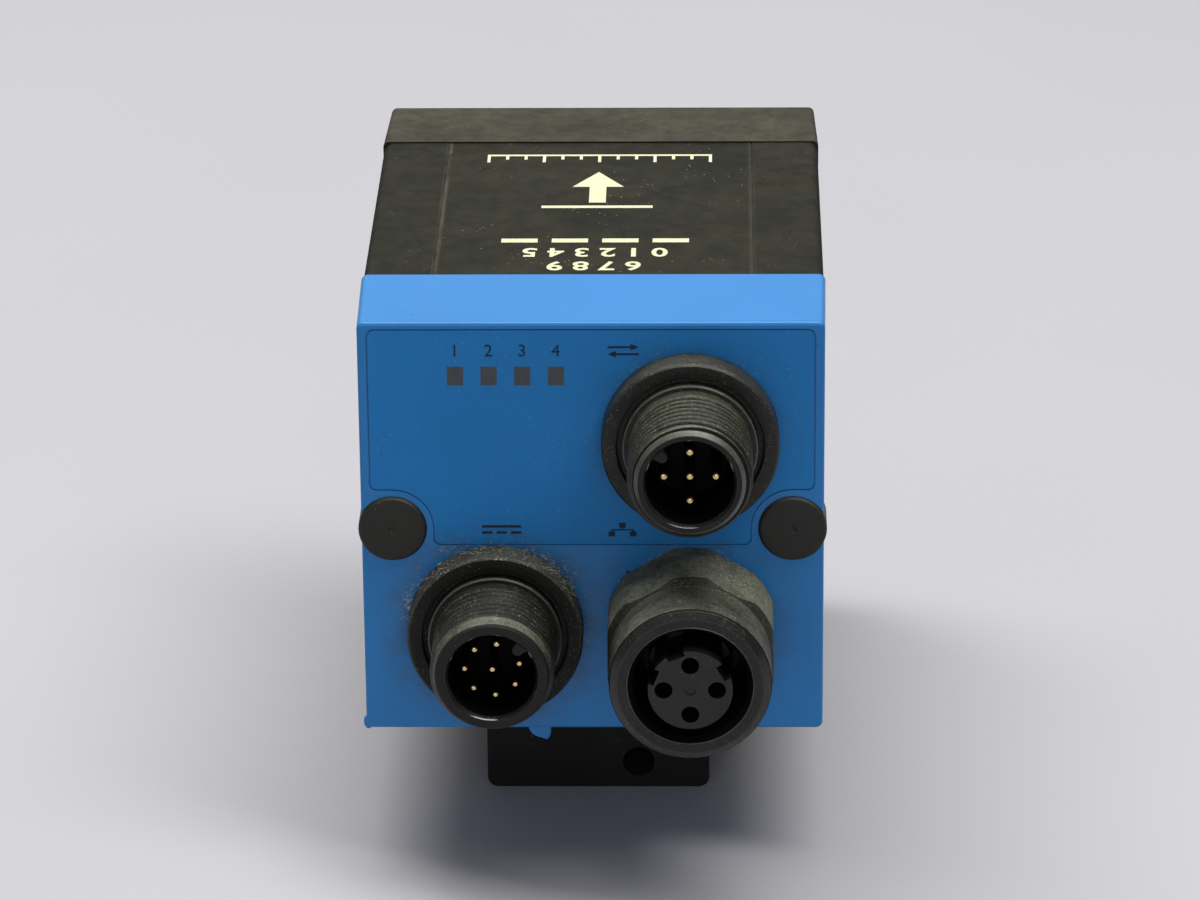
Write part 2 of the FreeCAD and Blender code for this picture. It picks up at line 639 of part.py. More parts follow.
ins_back, ins_front = q(-17.2), q(-29.4)
tail = board_y + d.board_thick
male = (("power", power_x, power_z, d.power_pin_r, d.power_pin_pcr,
         (80.5, 129.3, 178.1, 226.9, 275.7, 324.5, 13.3), 47.0),
        ("data", data_x, data_z, d.data_pin_r, d.data_pin_pcr, (0, 90, 180, 270), 138.0))
pin_tools = []
for nm, cx, cz, pr, pcr, angs, key in male:
    node(turned(nm + "_shell", male_profile(), cx, cz), nm + "_connector_shell")
    pins = comp(nm + "_pin_set", pins_at(nm + "_pin", cx, cz, pr, pcr, angs, -36.0, tail))
    node(pins, nm + "_connector_pins")
    disc = cyl_y(nm + "_disc", d.male_bore_r, cx, ins_front, ins_back, cz)
    rib = nose(nm + "_nose", cx, cz, key, -36.9, ins_front + 1.5)
    tools = pins_at(nm + "_pinway", cx, cz, pr, pcr, angs, -31.0, ins_back + 1)
    node(cut(nm + "_insert", fuse(nm + "_insert_blank", [disc, rib]), tools), nm + "_connector_insert")
    pin_tools += pins_at(nm + "_pad", cx, cz, pr, pcr, angs, board_y - 1, tail + 1)

fy = face_y
ly = face_y - d.lan_len
lan_turn = turned("lan_shell", [
    (4.9, -18.0), (d.shank_r, -18.0), (d.shank_r, fy), (6.9, fy), (6.9, fy - 0.5), (7.6, fy - 0.5),
    (7.6, fy), (d.lan_hex_r, fy), (d.lan_hex_r, fy - d.lan_hex_len), (d.lan_collar_r, fy - d.lan_hex_len - 1.1),
    (d.lan_collar_r, ly + 0.5), (d.lan_collar_r - 0.15, ly + 0.25), (d.lan_collar_r - 0.8, ly),
    (d.lan_bore_r + 0.55, ly), (d.lan_bore_r, ly + 0.5), (d.lan_bore_r, -30.0), (4.9, -30.0)],
    lan_x, lan_z)
lan_hexagon = hex_y("lan_hexagon", d.lan_flat, lan_x, fy - 12, fy + 1, lan_z)
lan_hexagon.Placement = FreeCAD.Placement(
    lan_hexagon.Placement.Base,
    FreeCAD.Rotation(V(0, 1, 0), 30).multiply(FreeCAD.Rotation(V(1, 0, 0), -90)))
hex_ring = cut("lan_hex_ring", cyl_y("lan_hex_blank", 12.0, lan_x, fy - d.lan_hex_len - 1.11, fy + 0.01, lan_z),
               lan_hexagon)
node(cut("lan_shell_done", lan_turn, hex_ring), "lan_connector_shell")
lan_angs = (0, 90, 180, 270)
node(comp("lan_contact_set", pins_at("lan_contact", lan_x, lan_z, 0.5, d.lan_hole_pcr, lan_angs,
                                     -33.6, tail, False)), "lan_connector_contacts")
lan_disc = cyl_y("lan_disc", 4.9, lan_x, -30.0, ins_back, lan_z)
lr = face_y - d.lan_reach
lan_nose = cyl_y("lan_nose", d.lan_insert_r, lan_x, lr, -29.9, lan_z)
lan_tools = pins_at("lan_hole", lan_x, lan_z, 0.86, d.lan_hole_pcr, lan_angs, lr - 1, -33.0, False)
lan_tools += pins_at("lan_way", lan_x, lan_z, 0.5, d.lan_hole_pcr, lan_angs, -34.0, ins_back + 1, False)
lan_tools.append(cyl_y("lan_dimple", 0.55, lan_x, lr - 0.6, lr + 0.15, lan_z))
for i, (ang, wide, a) in enumerate(((30.0, 1.65, 3.30), (159.0, 1.65, 3.45), (111.5, 1.70, 3.50))):
    t = math.radians(ang)
    o = doc.addObject("Part::Box", "lan_notch_%d" % i)
    setp(o, "Length", 1.2)
    setp(o, "Width", 6.0)
    setp(o, "Height", wide)
    lan_tools.append(place(o, lan_x + (a * math.cos(t) + wide / 2 * math.sin(t)), lr - 0.5,
                           lan_z + (a * math.sin(t) - wide / 2 * math.cos(t)), V(0, 1, 0), -ang))
node(cut("lan_insert", fuse("lan_insert_blank", [lan_disc, lan_nose]), lan_tools), "lan_connector_insert")
pin_tools += pins_at("lan_pad", lan_x, lan_z, 0.5, d.lan_hole_pcr, lan_angs, board_y - 1, tail + 1, False)

nuts, seals = [], []
for nm, cx, cz in (("power", power_x, power_z), ("lan", lan_x, lan_z), ("data", data_x, data_z)):
    nuts.append(cut(nm + "_nut", hex_y(nm + "_nut_blank", d.nut_flat, cx, in_y, in_y + 2.6, cz),
                    cyl_y(nm + "_nut_hole", d.shank_r, cx, in_y - 1, in_y + 4, cz)))
    seals.append(cut(nm + "_seal", cyl_y(nm + "_seal_out", 7.6, cx, face_y - 0.5, face_y, cz),
                     cyl_y(nm + "_seal_in", 6.9, cx, face_y - 1, face_y + 1, cz)))
node(comp("nut_set", nuts), "connector_nuts")
node(comp("seal_set", seals), "connector_seals")

# --------------------------------------------------------- circuit boards
node(cut("connector_board_done", box("connector_board_blank", -14.5, 14.5, board_y, tail, 17.2, 53.4),
         pin_tools), "connector_board")
node(comp("status_led_set", [
    box("status_led_%d" % i, d.led_first + i * d.led_pitch - 0.8, d.led_first + i * d.led_pitch + 0.8,
        board_y - 0.8, board_y, base_z + d.led_h - 0.4, base_z + d.led_h + 0.4) for i in range(4)]),
    "status_leds")
proc_y = q(-8.6)
node(box("header_block", -12.0, 0.0, tail, proc_y, 38.0, 42.0), "board_header")
stand = ((12.0, 23.5), (-12.0, 23.5), (12.0, 47.0), (-12.0, 47.0))
node(cut("processor_board_done",
         box("processor_board_blank", -15.3, 15.3, proc_y, proc_y + d.board_thick, 19.0, 49.2),
         [cyl_y("processor_hole_%d" % i, 0.85, x, -10, -5, z) for i, (x, z) in enumerate(stand)]),
     "processor_board")
node(box("processor_chip_block", -4.0, 10.0, proc_y - 1.6, proc_y, 22.0, 36.0), "processor_chip")
sens_y = q(-3.8)
node(cut("sensor_board_done",
         box("sensor_board_blank", -14.3, 14.3, sens_y, sens_y + d.board_thick, 20.5, 50.0),
         [cyl_y("sensor_hole_%d" % i, 0.85, x, -6, -1, z) for i, (x, z) in enumerate(stand)]),
     "sensor_board")
node(box("image_sensor_block", -6.0, 6.0, sens_y + d.board_thick, -1.4, axis_z - 5.0, axis_z + 5.0),
     "image_sensor")
node(comp("standoff_set", [
    cut("standoff_%d" % i, hex_y("standoff_blank_%d" % i, 3.6, x, proc_y + d.board_thick, sens_y, z),
        cyl_y("standoff_hole_%d" % i, 0.85, x, -9, -2, z)) for i, (x, z) in enumerate(stand)]),
    "board_standoffs")
node(comp("board_screw_set", [
    screw_y("board_screw_%d" % i, x, z, proc_y, 1.6, 1.0, 0.8, -1.2, 1.2, -1)
    for i, (x, z) in enumerate(stand)]), "board_screws")

# ---------------------------------------------------------------- chassis
ch = [box("chassis_base", -14, 14, -1.0, 24.9, iz0, iz0 + 2),
      box("chassis_rear", -14, 14, -1.0, 1.0, iz0, 50.5),
      box("chassis_rear_ear", -20.2, -13.5, -1.0, 1.0, axis_z - 4, axis_z + 4),
      box("chassis_front", -16.4, 16.4, 24.8, 26.8, iz0 + 3.4, 52.0),
      box("chassis_front_foot", -14, 14, 24.8, frame_y, iz0, iz0 + 4),
      box("chassis_front_ear", -20.2, -16.0, 24.8, 26.8, axis_z - 4, axis_z + 4)]
ch += [cyl_y("chassis_pad_%d" % i, 1.9, x, sens_y + d.board_thick, -0.9, z) for i, (x, z) in enumerate(stand)]
light_at = ((13.5, 22.5), (-13.5, 22.5), (13.5, 47.8), (-13.5, 47.8))
ch_cut = [box("chassis_sensor_window", -7, 7, -2, 2, axis_z - 6, axis_z + 6),
          cyl_y("chassis_bore", 7.7, 0, 24, 28, axis_z),
          cyl_y("chassis_rod_l", d.rod_r, -d.rod_x, -2, 28, axis_z),
          cyl_y("chassis_rod_r", d.rod_r, d.rod_x, -2, 28, axis_z),
          cyl_y("chassis_focus", 1.05, -d.screw_x, -2, 26.0, axis_z),
          cyl_z("chassis_way_a", 1.05, 0, 4.5, iz0 - 1, iz0 + 3),
          cyl_z("chassis_way_b", 1.05, 0, 20.0, iz0 - 1, iz0 + 3)]
ch_cut += [cyl_y("chassis_tap_%d" % i, 0.8, x, -3, 0.6, z) for i, (x, z) in enumerate(stand)]
ch_cut += [cyl_y("chassis_light_tap_%d" % i, 0.8, x, 24.9, 28, z) for i, (x, z) in enumerate(light_at)]
node(cut("chassis_done", fuse("chassis_blank", ch), ch_cut), "chassis")


def screw_down(name, x, y, seat, end):
    head = cyl_z(name + "_head", 1.8, x, y, seat, q(seat) + 1.3)
    shank = cyl_z(name + "_shank", 1.0, x, y, end, q(seat) + 0.1)
    drive = doc.addObject("Part::Prism", name + "_socket")
    drive.Polygon = 6
    setp(drive, "Circumradius", 0.9)
    setp(drive, "Height", 3)
    place(drive, x, y, q(seat) + 0.6)
    return cut(name, fuse(name + "_blank", [head, shank]), drive)


node(comp("chassis_screw_set", [screw_down("chassis_screw_a", 0, 4.5, iz0 + 2, hz0 - 1.4),
                                screw_down("chassis_screw_b", 0, 20.0, iz0 + 2, hz0 - 1.4)]),
     "chassis_screws")
node(comp("rod_set", [cyl_y("rod_l", d.rod_r, -d.rod_x, -1.0, 26.8, axis_z),
                      cyl_y("rod_r", d.rod_r, d.rod_x, -1.0, 26.8, axis_z)]), "guide_rods")

# ------------------------------------------------- lens carriage and focus
car = fuse("carriage_blank", [cyl_y("carriage_ring", 9.0, 0, 10.0, 15.0, axis_z),
                              box("carriage_arm", -20.2, 14.6, 10.0, 15.0, axis_z - 3, axis_z + 3)])
node(cut("carriage_done", car, [
    cyl_y("carriage_bore", d.barrel_r, 0, 9, 16, axis_z),
    cyl_y("carriage_rod_l", d.rod_r + 0.04, -d.rod_x, 9, 16, axis_z),
    cyl_y("carriage_rod_r", d.rod_r + 0.04, d.rod_x, 9, 16, axis_z),
    cyl_y("carriage_nut", 1.05, -d.screw_x, 9, 16, axis_z)]), "lens_carriage")
node(turned("barrel", [(4.6, 4.0), (d.barrel_r, 4.0), (d.barrel_r, 25.5), (6.0, 25.5), (6.0, 20.6),
                       (4.4, 20.0), (4.4, 8.6), (5.4, 8.0), (5.4, 5.0), (4.6, 5.0)], 0, axis_z), "lens_barrel")
node(turned("front_element", [(0, 20.9), (5.2, 22.0), (6.0, 22.0), (6.0, 23.4), (4.6, 24.2), (2.4, 24.75), (0, 24.9)],
            0, axis_z), "front_lens")
node(turned("rear_element", [(0, 5.2), (3.0, 5.4), (5.4, 6.2), (5.4, 7.4), (3.0, 7.9), (0, 8.1)], 0, axis_z),
     "rear_lens")
node(turned("retaining", [(4.9, 24.15), (6.0, 23.5), (6.0, 25.3), (5.1, 25.3)], 0, axis_z), "lens_retaining_ring")
fs_head = cyl_y("focus_head", 1.9, -d.screw_x, -20.9, -19.4, axis_z)
fs_shank = cyl_y("focus_shank", 1.0, -d.screw_x, -19.5, 25.6, axis_z)
fs_slot = box("focus_slot", -d.screw_x - 3, -d.screw_x + 3, -21.5, -20.2, axis_z - 0.3, axis_z + 0.3)
node(cut("focus_screw_done", fuse("focus_blank", [fs_head, fs_shank]), fs_slot), "focus_screw")

# ------------------------------------------------------------ illumination
node(cut("light_board_done", box("light_board_blank", -16.2, 16.2, 26.8, 28.0, 19.2, 51.0),
         [cyl_y("light_board_bore", 7.7, 0, 26, 29, axis_z)] +
         [cyl_y("light_board_hole_%d" % i, 0.85, x, 26, 29, z) for i, (x, z) in enumerate(light_at)]),
     "illumination_board")
leds = []
for i in range(8):
    t = math.radians(45 * i + 22.5)
    lx, lz = 12.6 * math.cos(t), 12.6 * math.sin(t)
    leds.append(box("led_body_%d" % i, lx - 1.4, lx + 1.4, 28.0, 29.2, axis_z + (lz - 1.4), axis_z + (lz + 1.4)))
node(comp("led_set", leds), "illumination_leds")
node(comp("light_screw_set", [
    screw_y("light_screw_%d" % i, x, z, 28.0, 1.5, 1.0, 0.8, 25.0, 1.2, 1)
    for i, (x, z) in enumerate(light_at)]), "light_board_screws")
node(turned("baffle", [(8.0, 28.0), (9.0, 28.0), (9.6, 34.4), (8.6, 34.4)], 0, axis_z), "lens_baffle")

# ------------------------------------------------------------------ clamp
cw, cy0, ct = d.clamp_w / 2, d.clamp_y, d.clamp_tall
cy1 = cy0 + d.clamp_len
gf = hz0 - d.rail_tall - 0.15            # groove floor
gb = d.rail_w / 2 + 0.15                 # groove half width at its floor
gt = d.neck_w / 2 + 0.38                 # groove half width at the block's top
js = q(5.2)                              # jaw split
clb = doc.addObject("PartDesign::Body", "clamp_body")
sk = sketch(clb, "clamp_section", offset=-cy0)
add_poly(sk, [(-cw, 0), (cw, 0), (cw, d.clamp_split), (js, d.clamp_split), (js, gf), (-gb, gf),
              (-gt, ct), (-cw, ct)])
cpad = pad(clb, "clamp_extrusion", sk, d.clamp_len)
pd_fillet(clb, "clamp_edges", cpad,
          lambda e: along(e, 1) and near(abs(e.CenterOfMass.x), cw.v) and near(e.CenterOfMass.z, 0), 1.1)
tap_y = cy0 + d.clamp_len / 2
cl_holes = [cyl_y("clamp_rear_hole", d.clamp_hole_r, d.clamp_hole_x, cy0 - 1, cy0 + 9, d.clamp_hole_h),
            cyl_z("clamp_tap_a", d.tap_r, 0, tap_y - d.tap_pitch / 2, -1, 5.5),
            cyl_z("clamp_tap_b", d.tap_r, 0, tap_y + d.tap_pitch / 2, -1, 5.5),
            cyl_x("clamp_jaw_tap_a", 1.25, -2.0, js + 1, tap_y - 6, 9.35),
            cyl_x("clamp_jaw_tap_b", 1.25, -2.0, js + 1, tap_y + 6, 9.35)]
node(cut("clamp_block_done", clb, cl_holes), "clamp_block")
jb = doc.addObject("PartDesign::Body", "jaw_body")
sk = sketch(jb, "jaw_section", offset=-cy0)
add_poly(sk, [(js, d.clamp_split), (cw, d.clamp_split), (cw, ct), (gt, ct), (gb, gf), (js, gf)])
pad(jb, "jaw_extrusion", sk, d.clamp_len)
jaw_holes = []
clamp_screws = []
for s, yy in (("a", tap_y - 6), ("b", tap_y + 6)):
    jaw_holes += [cyl_x("jaw_way_" + s, 1.4, js - 1, 12, yy, 9.35),
                  cyl_x("jaw_seat_" + s, 2.2, 9.0, 12, yy, 9.35)]
    head = cyl_x("jaw_head_" + s, 2.1, 9.0, 11.0, yy, 9.35)
    shank = cyl_x("jaw_shank_" + s, 1.25, -1.5, 9.1, yy, 9.35)
    drive = doc.addObject("Part::Prism", "jaw_socket_" + s)
    drive.Polygon = 6
    setp(drive, "Circumradius", 1.15)
    setp(drive, "Height", 3)
    place(drive, 9.8, yy, 9.35, V(0, 1, 0), 90)
    clamp_screws.append(cut("jaw_screw_" + s, fuse("jaw_screw_blank_" + s, [head, shank]), drive))
node(cut("clamp_jaw_done", jb, jaw_holes), "clamp_jaw")
node(comp("clamp_screw_set", clamp_screws), "clamp_screws")

# -------------------------------------------- middle of the footprint as origin
for label, o in NODES.items():
    if [p for p in o.InList if p.isDerivedFrom("Part::Feature") or p.isDerivedFrom("PartDesign::Body")]:
        raise RuntimeError(label + " is used by another object, so it can't be moved alone")
    held = [e for path, e in o.ExpressionEngine if path.lstrip(".").startswith("Placement.Base.y")]
    base = held[0] if held else "%.5f" % o.Placement.Base.y
    o.Placement.Base.y += d.mid_y.v
    o.setExpression("Placement.Base.y", "(%s) + dims.mid_y" % base)

# ------------------------------------------------------- checks and export
doc.recompute()
for o in doc.Objects:
    bad = [s for s in o.State if s in ("Invalid", "Error")]
    if bad:
        raise RuntimeError("%s: %s" % (o.Name, o.State))
    if o.isDerivedFrom("Sketcher::SketchObject") and o.solve() != 0:
        raise RuntimeError("sketch %s has no solution" % o.Name)
lo, hi = [1e9] * 3, [-1e9] * 3
for label, o in NODES.items():
    if not hasattr(o, "Placement"):
        raise RuntimeError(label + " has no placement")
    shape = o.Shape
    if shape.isNull() or not shape.isValid() or not shape.Solids:
        raise RuntimeError("%s: bad shape" % label)
    b = shape.BoundBox
    for k, (mn, mx) in enumerate(((b.XMin, b.XMax), (b.YMin, b.YMax), (b.ZMin, b.ZMax))):
        lo[k], hi[k] = min(lo[k], mn), max(hi[k], mx)
    print("%-26s %2d solids %10.2f mm3  x %.2f %.2f  y %.2f %.2f  z %.2f %.2f" % (
        label, len(shape.Solids), shape.Volume, b.XMin, b.XMax, b.YMin, b.YMax, b.ZMin, b.ZMax))
    shape.exportStep("parts/%s.step" % label)
print(len(NODES), "nodes; box", [round(v, 3) for v in lo], [round(v, 3) for v in hi])
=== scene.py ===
import json
import math
import random

import bmesh
import bpy
import numpy as np
from mathutils import Matrix, Vector


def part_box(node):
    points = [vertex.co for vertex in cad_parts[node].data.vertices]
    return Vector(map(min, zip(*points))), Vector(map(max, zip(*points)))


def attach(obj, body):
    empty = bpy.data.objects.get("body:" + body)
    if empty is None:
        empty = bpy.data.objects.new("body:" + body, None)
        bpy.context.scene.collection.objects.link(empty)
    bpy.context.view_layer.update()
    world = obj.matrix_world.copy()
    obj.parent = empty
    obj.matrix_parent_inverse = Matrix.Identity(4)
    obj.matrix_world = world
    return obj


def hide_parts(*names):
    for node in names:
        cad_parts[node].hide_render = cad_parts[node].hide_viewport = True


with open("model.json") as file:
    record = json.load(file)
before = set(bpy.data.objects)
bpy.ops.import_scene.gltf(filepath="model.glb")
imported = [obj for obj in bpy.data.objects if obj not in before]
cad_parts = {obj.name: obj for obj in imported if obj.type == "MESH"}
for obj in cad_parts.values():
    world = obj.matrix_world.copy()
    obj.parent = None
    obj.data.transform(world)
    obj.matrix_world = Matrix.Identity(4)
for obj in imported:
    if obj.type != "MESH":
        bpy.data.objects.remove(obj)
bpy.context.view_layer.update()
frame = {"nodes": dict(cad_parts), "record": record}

NODES = frame["nodes"]
SCN = bpy.context.scene
SCN.view_settings.view_transform = "Standard"
random.seed(7)
RNG = np.random.default_rng(7)
MM = 0.001
# The lengths below are drawn with the rear face at y = -25.6 mm; the row frame lies DY further back.
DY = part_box("rear_cover")[0][1] * 1000 + 25.6


def lin(r, g, b):
    """sRGB 0..255 to linear."""
    out = []
    for v in (r, g, b):
        v /= 255.0
        out.append(v / 12.92 if v <= 0.04045 else ((v + 0.055) / 1.055) ** 2.4)
    return tuple(out)


# ------------------------------------------------------------------ camera
cam_data = bpy.data.cameras.new("cam")
cam = bpy.data.objects.new("cam", cam_data)
SCN.collection.objects.link(cam)
cam_data.sensor_fit = "HORIZONTAL"
cam_data.sensor_width = 36.0
cam_data.lens = 171.445
cam_data.clip_start = 0.01
cam_data.clip_end = 20.0
cam.matrix_world = Matrix((
    (0.999787097, 0.000894383, 0.02061456, 0.01213976),
    (0.0187254, 0.380320113, -0.924665329, -0.53446733 + DY * MM),
    (-0.00866714, 0.924854481, 0.380222394, 0.25258996),
    (0, 0, 0, 1)))
SCN.camera = cam


# --------------------------------------------------------------- materials
class Mat:
    """A small builder for node materials.  Coordinates are the row frame, in metres."""

    def __init__(self, name):
        self.m = bpy.data.materials.new(name)
        self.m.use_nodes = True
        self.nt = self.m.node_tree
        self.b = self.nt.nodes["Principled BSDF"]
        self.tc = self.n("ShaderNodeTexCoord")
        self.pos = self.tc.outputs["Object"]
        self.geo = None

    def n(self, kind, **props):
        nd = self.nt.nodes.new(kind)
        for k, v in props.items():
            setattr(nd, k, v)
        return nd

    def link(self, a, b):
        self.nt.links.new(a, b)

    def put(self, sock, val):
        if isinstance(val, bpy.types.NodeSocket):
            self.link(val, sock)
        elif hasattr(sock.default_value, "__len__") and not hasattr(val, "__len__"):
            sock.default_value = (val, val, val, 1)[:len(sock.default_value)]
        elif hasattr(sock.default_value, "__len__"):
            v = tuple(val)
            sock.default_value = v if len(v) == len(sock.default_value) else (v + (1.0,))[:len(sock.default_value)]
        else:
            sock.default_value = val

    def noise(self, scale, detail=3.0, rough=0.55, vec=None, distortion=0.0, stretch=None):
        v = vec or self.pos
        if stretch:
            mp = self.n("ShaderNodeMapping")
            mp.inputs["Scale"].default_value = stretch
            self.link(v, mp.inputs["Vector"])
            v = mp.outputs["Vector"]
        nd = self.n("ShaderNodeTexNoise")
        self.link(v, nd.inputs["Vector"])
        nd.inputs["Scale"].default_value = scale
        nd.inputs["Detail"].default_value = detail
        nd.inputs["Roughness"].default_value = rough
        nd.inputs["Distortion"].default_value = distortion
        return nd.outputs["Fac"]

    def voronoi(self, scale, out="Distance", rnd=1.0):
        nd = self.n("ShaderNodeTexVoronoi")
        self.link(self.pos, nd.inputs["Vector"])
        nd.inputs["Scale"].default_value = scale
        nd.inputs["Randomness"].default_value = rnd
        return nd.outputs[out]

    def math(self, op, a, b=0.0, c=None, clamp=False):
        nd = self.n("ShaderNodeMath", operation=op)
        nd.use_clamp = clamp
        self.put(nd.inputs[0], a)
        self.put(nd.inputs[1], b)
        if c is not None:
            self.put(nd.inputs[2], c)
        return nd.outputs[0]

    def step(self, val, lo, hi):
        """0 below lo, 1 above hi, smooth between (lo may be above hi)."""
        nd = self.n("ShaderNodeMapRange", interpolation_type="SMOOTHSTEP")
        self.link(val, nd.inputs["Value"])
        if lo <= hi:
            nd.inputs["From Min"].default_value = lo
            nd.inputs["From Max"].default_value = hi
        else:
            nd.inputs["From Min"].default_value = hi
            nd.inputs["From Max"].default_value = lo
            nd.inputs["To Min"].default_value = 1.0
            nd.inputs["To Max"].default_value = 0.0
        return nd.outputs["Result"]

    def mix(self, fac, a, b):
        nd = self.n("ShaderNodeMix", data_type="RGBA")
        self.put(nd.inputs[0], fac)
        self.put(nd.inputs[6], a)
        self.put(nd.inputs[7], b)
        return nd.outputs[2]

    def normal(self, axis="Z"):
        if self.geo is None:
            self.geo = self.n("ShaderNodeNewGeometry")
            self.sep = self.n("ShaderNodeSeparateXYZ")
            self.link(self.geo.outputs["Normal"], self.sep.inputs[0])
        return self.sep.outputs[axis]

    def place(self, axis):
        nd = self.n("ShaderNodeSeparateXYZ")
        self.link(self.pos, nd.inputs[0])
        return nd.outputs[axis]

    def bump(self, height, strength, dist, after=None):
        nd = self.n("ShaderNodeBump")
        nd.inputs["Strength"].default_value = strength
        nd.inputs["Distance"].default_value = dist
        self.link(height, nd.inputs["Height"])
        if after is not None:
            self.link(after, nd.inputs["Normal"])
        return nd.outputs["Normal"]

    def finish(self, color=None, rough=None, metal=None, normal=None, **consts):
        if color is not None:
            self.put(self.b.inputs["Base Color"], color)
        if rough is not None:
            self.put(self.b.inputs["Roughness"], rough)
        if metal is not None:
            self.b.inputs["Metallic"].default_value = metal
        if normal is not None:
            self.link(normal, self.b.inputs["Normal"])
        for k, v in consts.items():
            self.b.inputs[k.replace("_", " ")].default_value = v
        return self.m


MATS = {}


def plastic(name, base, rough=0.45, var=0.10, var_scale=120, grain=2500, grain_h=0.00003, grain_s=0.25,
            rough_var=0.08, dust=0.0, dust_col=(0.16, 0.155, 0.095), dust_up=(0.15, 0.95), dust_scale=900,
            film=0.0, specks=0.0, speck_col=(0.35, 0.4, 0.45), speck_scale=900, spec=0.5, wear=0.0,
            nicks=0.0, face_dirt_and_darkening=0.0, film_edges=0.0, grit=0.0, grit_col=(0.30, 0.30, 0.22), painted_flank_shade=None):
    m = Mat(name)
    big = m.noise(var_scale, 4.0, 0.6)
    dark = tuple(c * (1 - var) for c in base)
    light = tuple(min(1, c * (1 + var)) for c in base)
    col = m.mix(m.step(big, 0.3, 0.7), dark, light)
    fine = m.noise(grain, 3.0, 0.6)
    r = m.math("MULTIPLY_ADD", m.noise(var_scale * 2.3, 5.0, 0.65), rough_var * 2, rough - rough_var)
    if film > 0:                       # thin even haze of dust over everything, patchy
        f = m.math("MULTIPLY", m.step(m.noise(260, 6.0, 0.7), 0.35, 0.75), film)
        col = m.mix(f, col, dust_col)
    if dust > 0:                       # settled on what looks up
        up = m.step(m.normal("Z"), dust_up[0], dust_up[1])
        n1 = m.step(m.noise(dust_scale, 8.0, 0.75), 0.30, 0.68)
        n2 = m.step(m.noise(dust_scale * 0.22, 3.0, 0.6), 0.25, 0.65)
        amt = m.math("MULTIPLY", m.math("MULTIPLY", up, m.math("MULTIPLY_ADD", n1, 0.65, 0.35)),
                     m.math("MULTIPLY_ADD", n2, 0.55, 0.45))
        amt = m.math("MULTIPLY", amt, dust, clamp=True)
        col = m.mix(amt, col, dust_col)
        r = m.math("MULTIPLY_ADD", amt, 0.45, r, clamp=True)
    if grit > 0:                       # coarse pale grains, mostly on what looks up
        up = m.step(m.normal("Z"), -0.35, 0.75)
        g = m.step(m.noise(4300, 2.0, 0.8), 0.555, 0.66)
        g2 = m.step(m.noise(430, 3.0, 0.6), 0.36, 0.60)
        f = m.math("MULTIPLY", m.math("MULTIPLY", g, m.math("MULTIPLY_ADD", g2, 0.8, 0.2)),
                   m.math("MULTIPLY_ADD", up, 0.85, 0.15))
        col = m.mix(m.math("MULTIPLY", f, grit, clamp=True), col, grit_col)
        dk = m.step(m.noise(3100, 3.0, 0.7), 0.44, 0.36)
        col = m.mix(m.math("MULTIPLY", dk, 0.5 * min(1.0, grit), clamp=True), col, tuple(c * 0.55 for c in base))
    if film_edges > 0:                 # dirt along the edges of the film on top
        ax = m.math("ABSOLUTE", m.place("X"))
        off = m.math("ABSOLUTE", m.math("SUBTRACT", ax, 0.01555))
        e = m.math("MULTIPLY", m.step(off, 0.00042, 0.00012), m.step(m.noise(700, 5.0, 0.7, stretch=(1, 0.2, 1)), 0.3, 0.6))
        left = m.step(m.place("X"), 0.002, -0.002)
        side = m.math("MULTIPLY_ADD", left, 0.55, 0.45)
        up = m.step(m.normal("Z"), 0.4, 0.9)
        f = m.math("MULTIPLY", m.math("MULTIPLY", m.math("MULTIPLY", e, side), up), film_edges)
        col = m.mix(f, col, (0.16, 0.14, 0.10))
    if face_dirt_and_darkening > 0:
        col = halo(m, col, face_dirt_and_darkening)
    if specks > 0:                     # sparse pale specks of dust
        v = m.voronoi(speck_scale)
        s = m.step(v, 0.16, 0.08)
        gate = m.step(m.noise(speck_scale * 0.13, 2.0, 0.5), 0.60 - 0.12 * specks, 0.66 - 0.12 * specks)
        col = m.mix(m.math("MULTIPLY", m.math("MULTIPLY", s, gate), 0.75), col, speck_col)
    if nicks > 0:                      # sparse dark nicks
        v = m.voronoi(330)
        s = m.step(v, 0.085, 0.05)
        gate = m.step(m.noise(95, 2.0, 0.5), 0.585, 0.62)
        col = m.mix(m.math("MULTIPLY", m.math("MULTIPLY", s, gate), nicks), col, (0.012, 0.02, 0.03))
    nrm = m.bump(fine, grain_s, grain_h)
    if wear > 0:                       # long shallow scratches
        sc = m.noise(900, 2.0, 0.5, stretch=(1.0, 0.06, 0.35), distortion=0.4)
        nrm = m.bump(m.step(sc, 0.66, 0.70), wear, 0.00002, nrm)
    if painted_flank_shade is not None:              # only what faces -Y keeps the lighter colour; the flanks get a painted shade colour
        col = m.mix(m.step(m.normal("Y"), -0.5, -0.9), painted_flank_shade, col)
    m.finish(col, r, 0.0, nrm)
    m.b.inputs["Specular IOR Level"].default_value = spec
    MATS[name] = m.m
    return m.m


def metal(name, base, rough=0.3, rough_var=0.1, grain=1500, stretch=None, grain_s=0.15, tarnish=0.0,
          tarnish_col=(0.1, 0.08, 0.05)):
    m = Mat(name)
    n = m.noise(grain, 3.0, 0.6, stretch=stretch)
    r = m.math("MULTIPLY_ADD", n, rough_var * 2, rough - rough_var)
    col = m.mix(m.step(m.noise(300, 4.0, 0.6), 0.3, 0.7), tuple(c * 0.88 for c in base), base)
    if tarnish > 0:
        t = m.math("MULTIPLY", m.step(m.noise(500, 6.0, 0.7), 0.5, 0.75), tarnish)
        col = m.mix(t, col, tarnish_col)
    m.finish(col, r, 1.0, m.bump(n, grain_s, 0.00002))
    MATS[name] = m.m
    return m.m


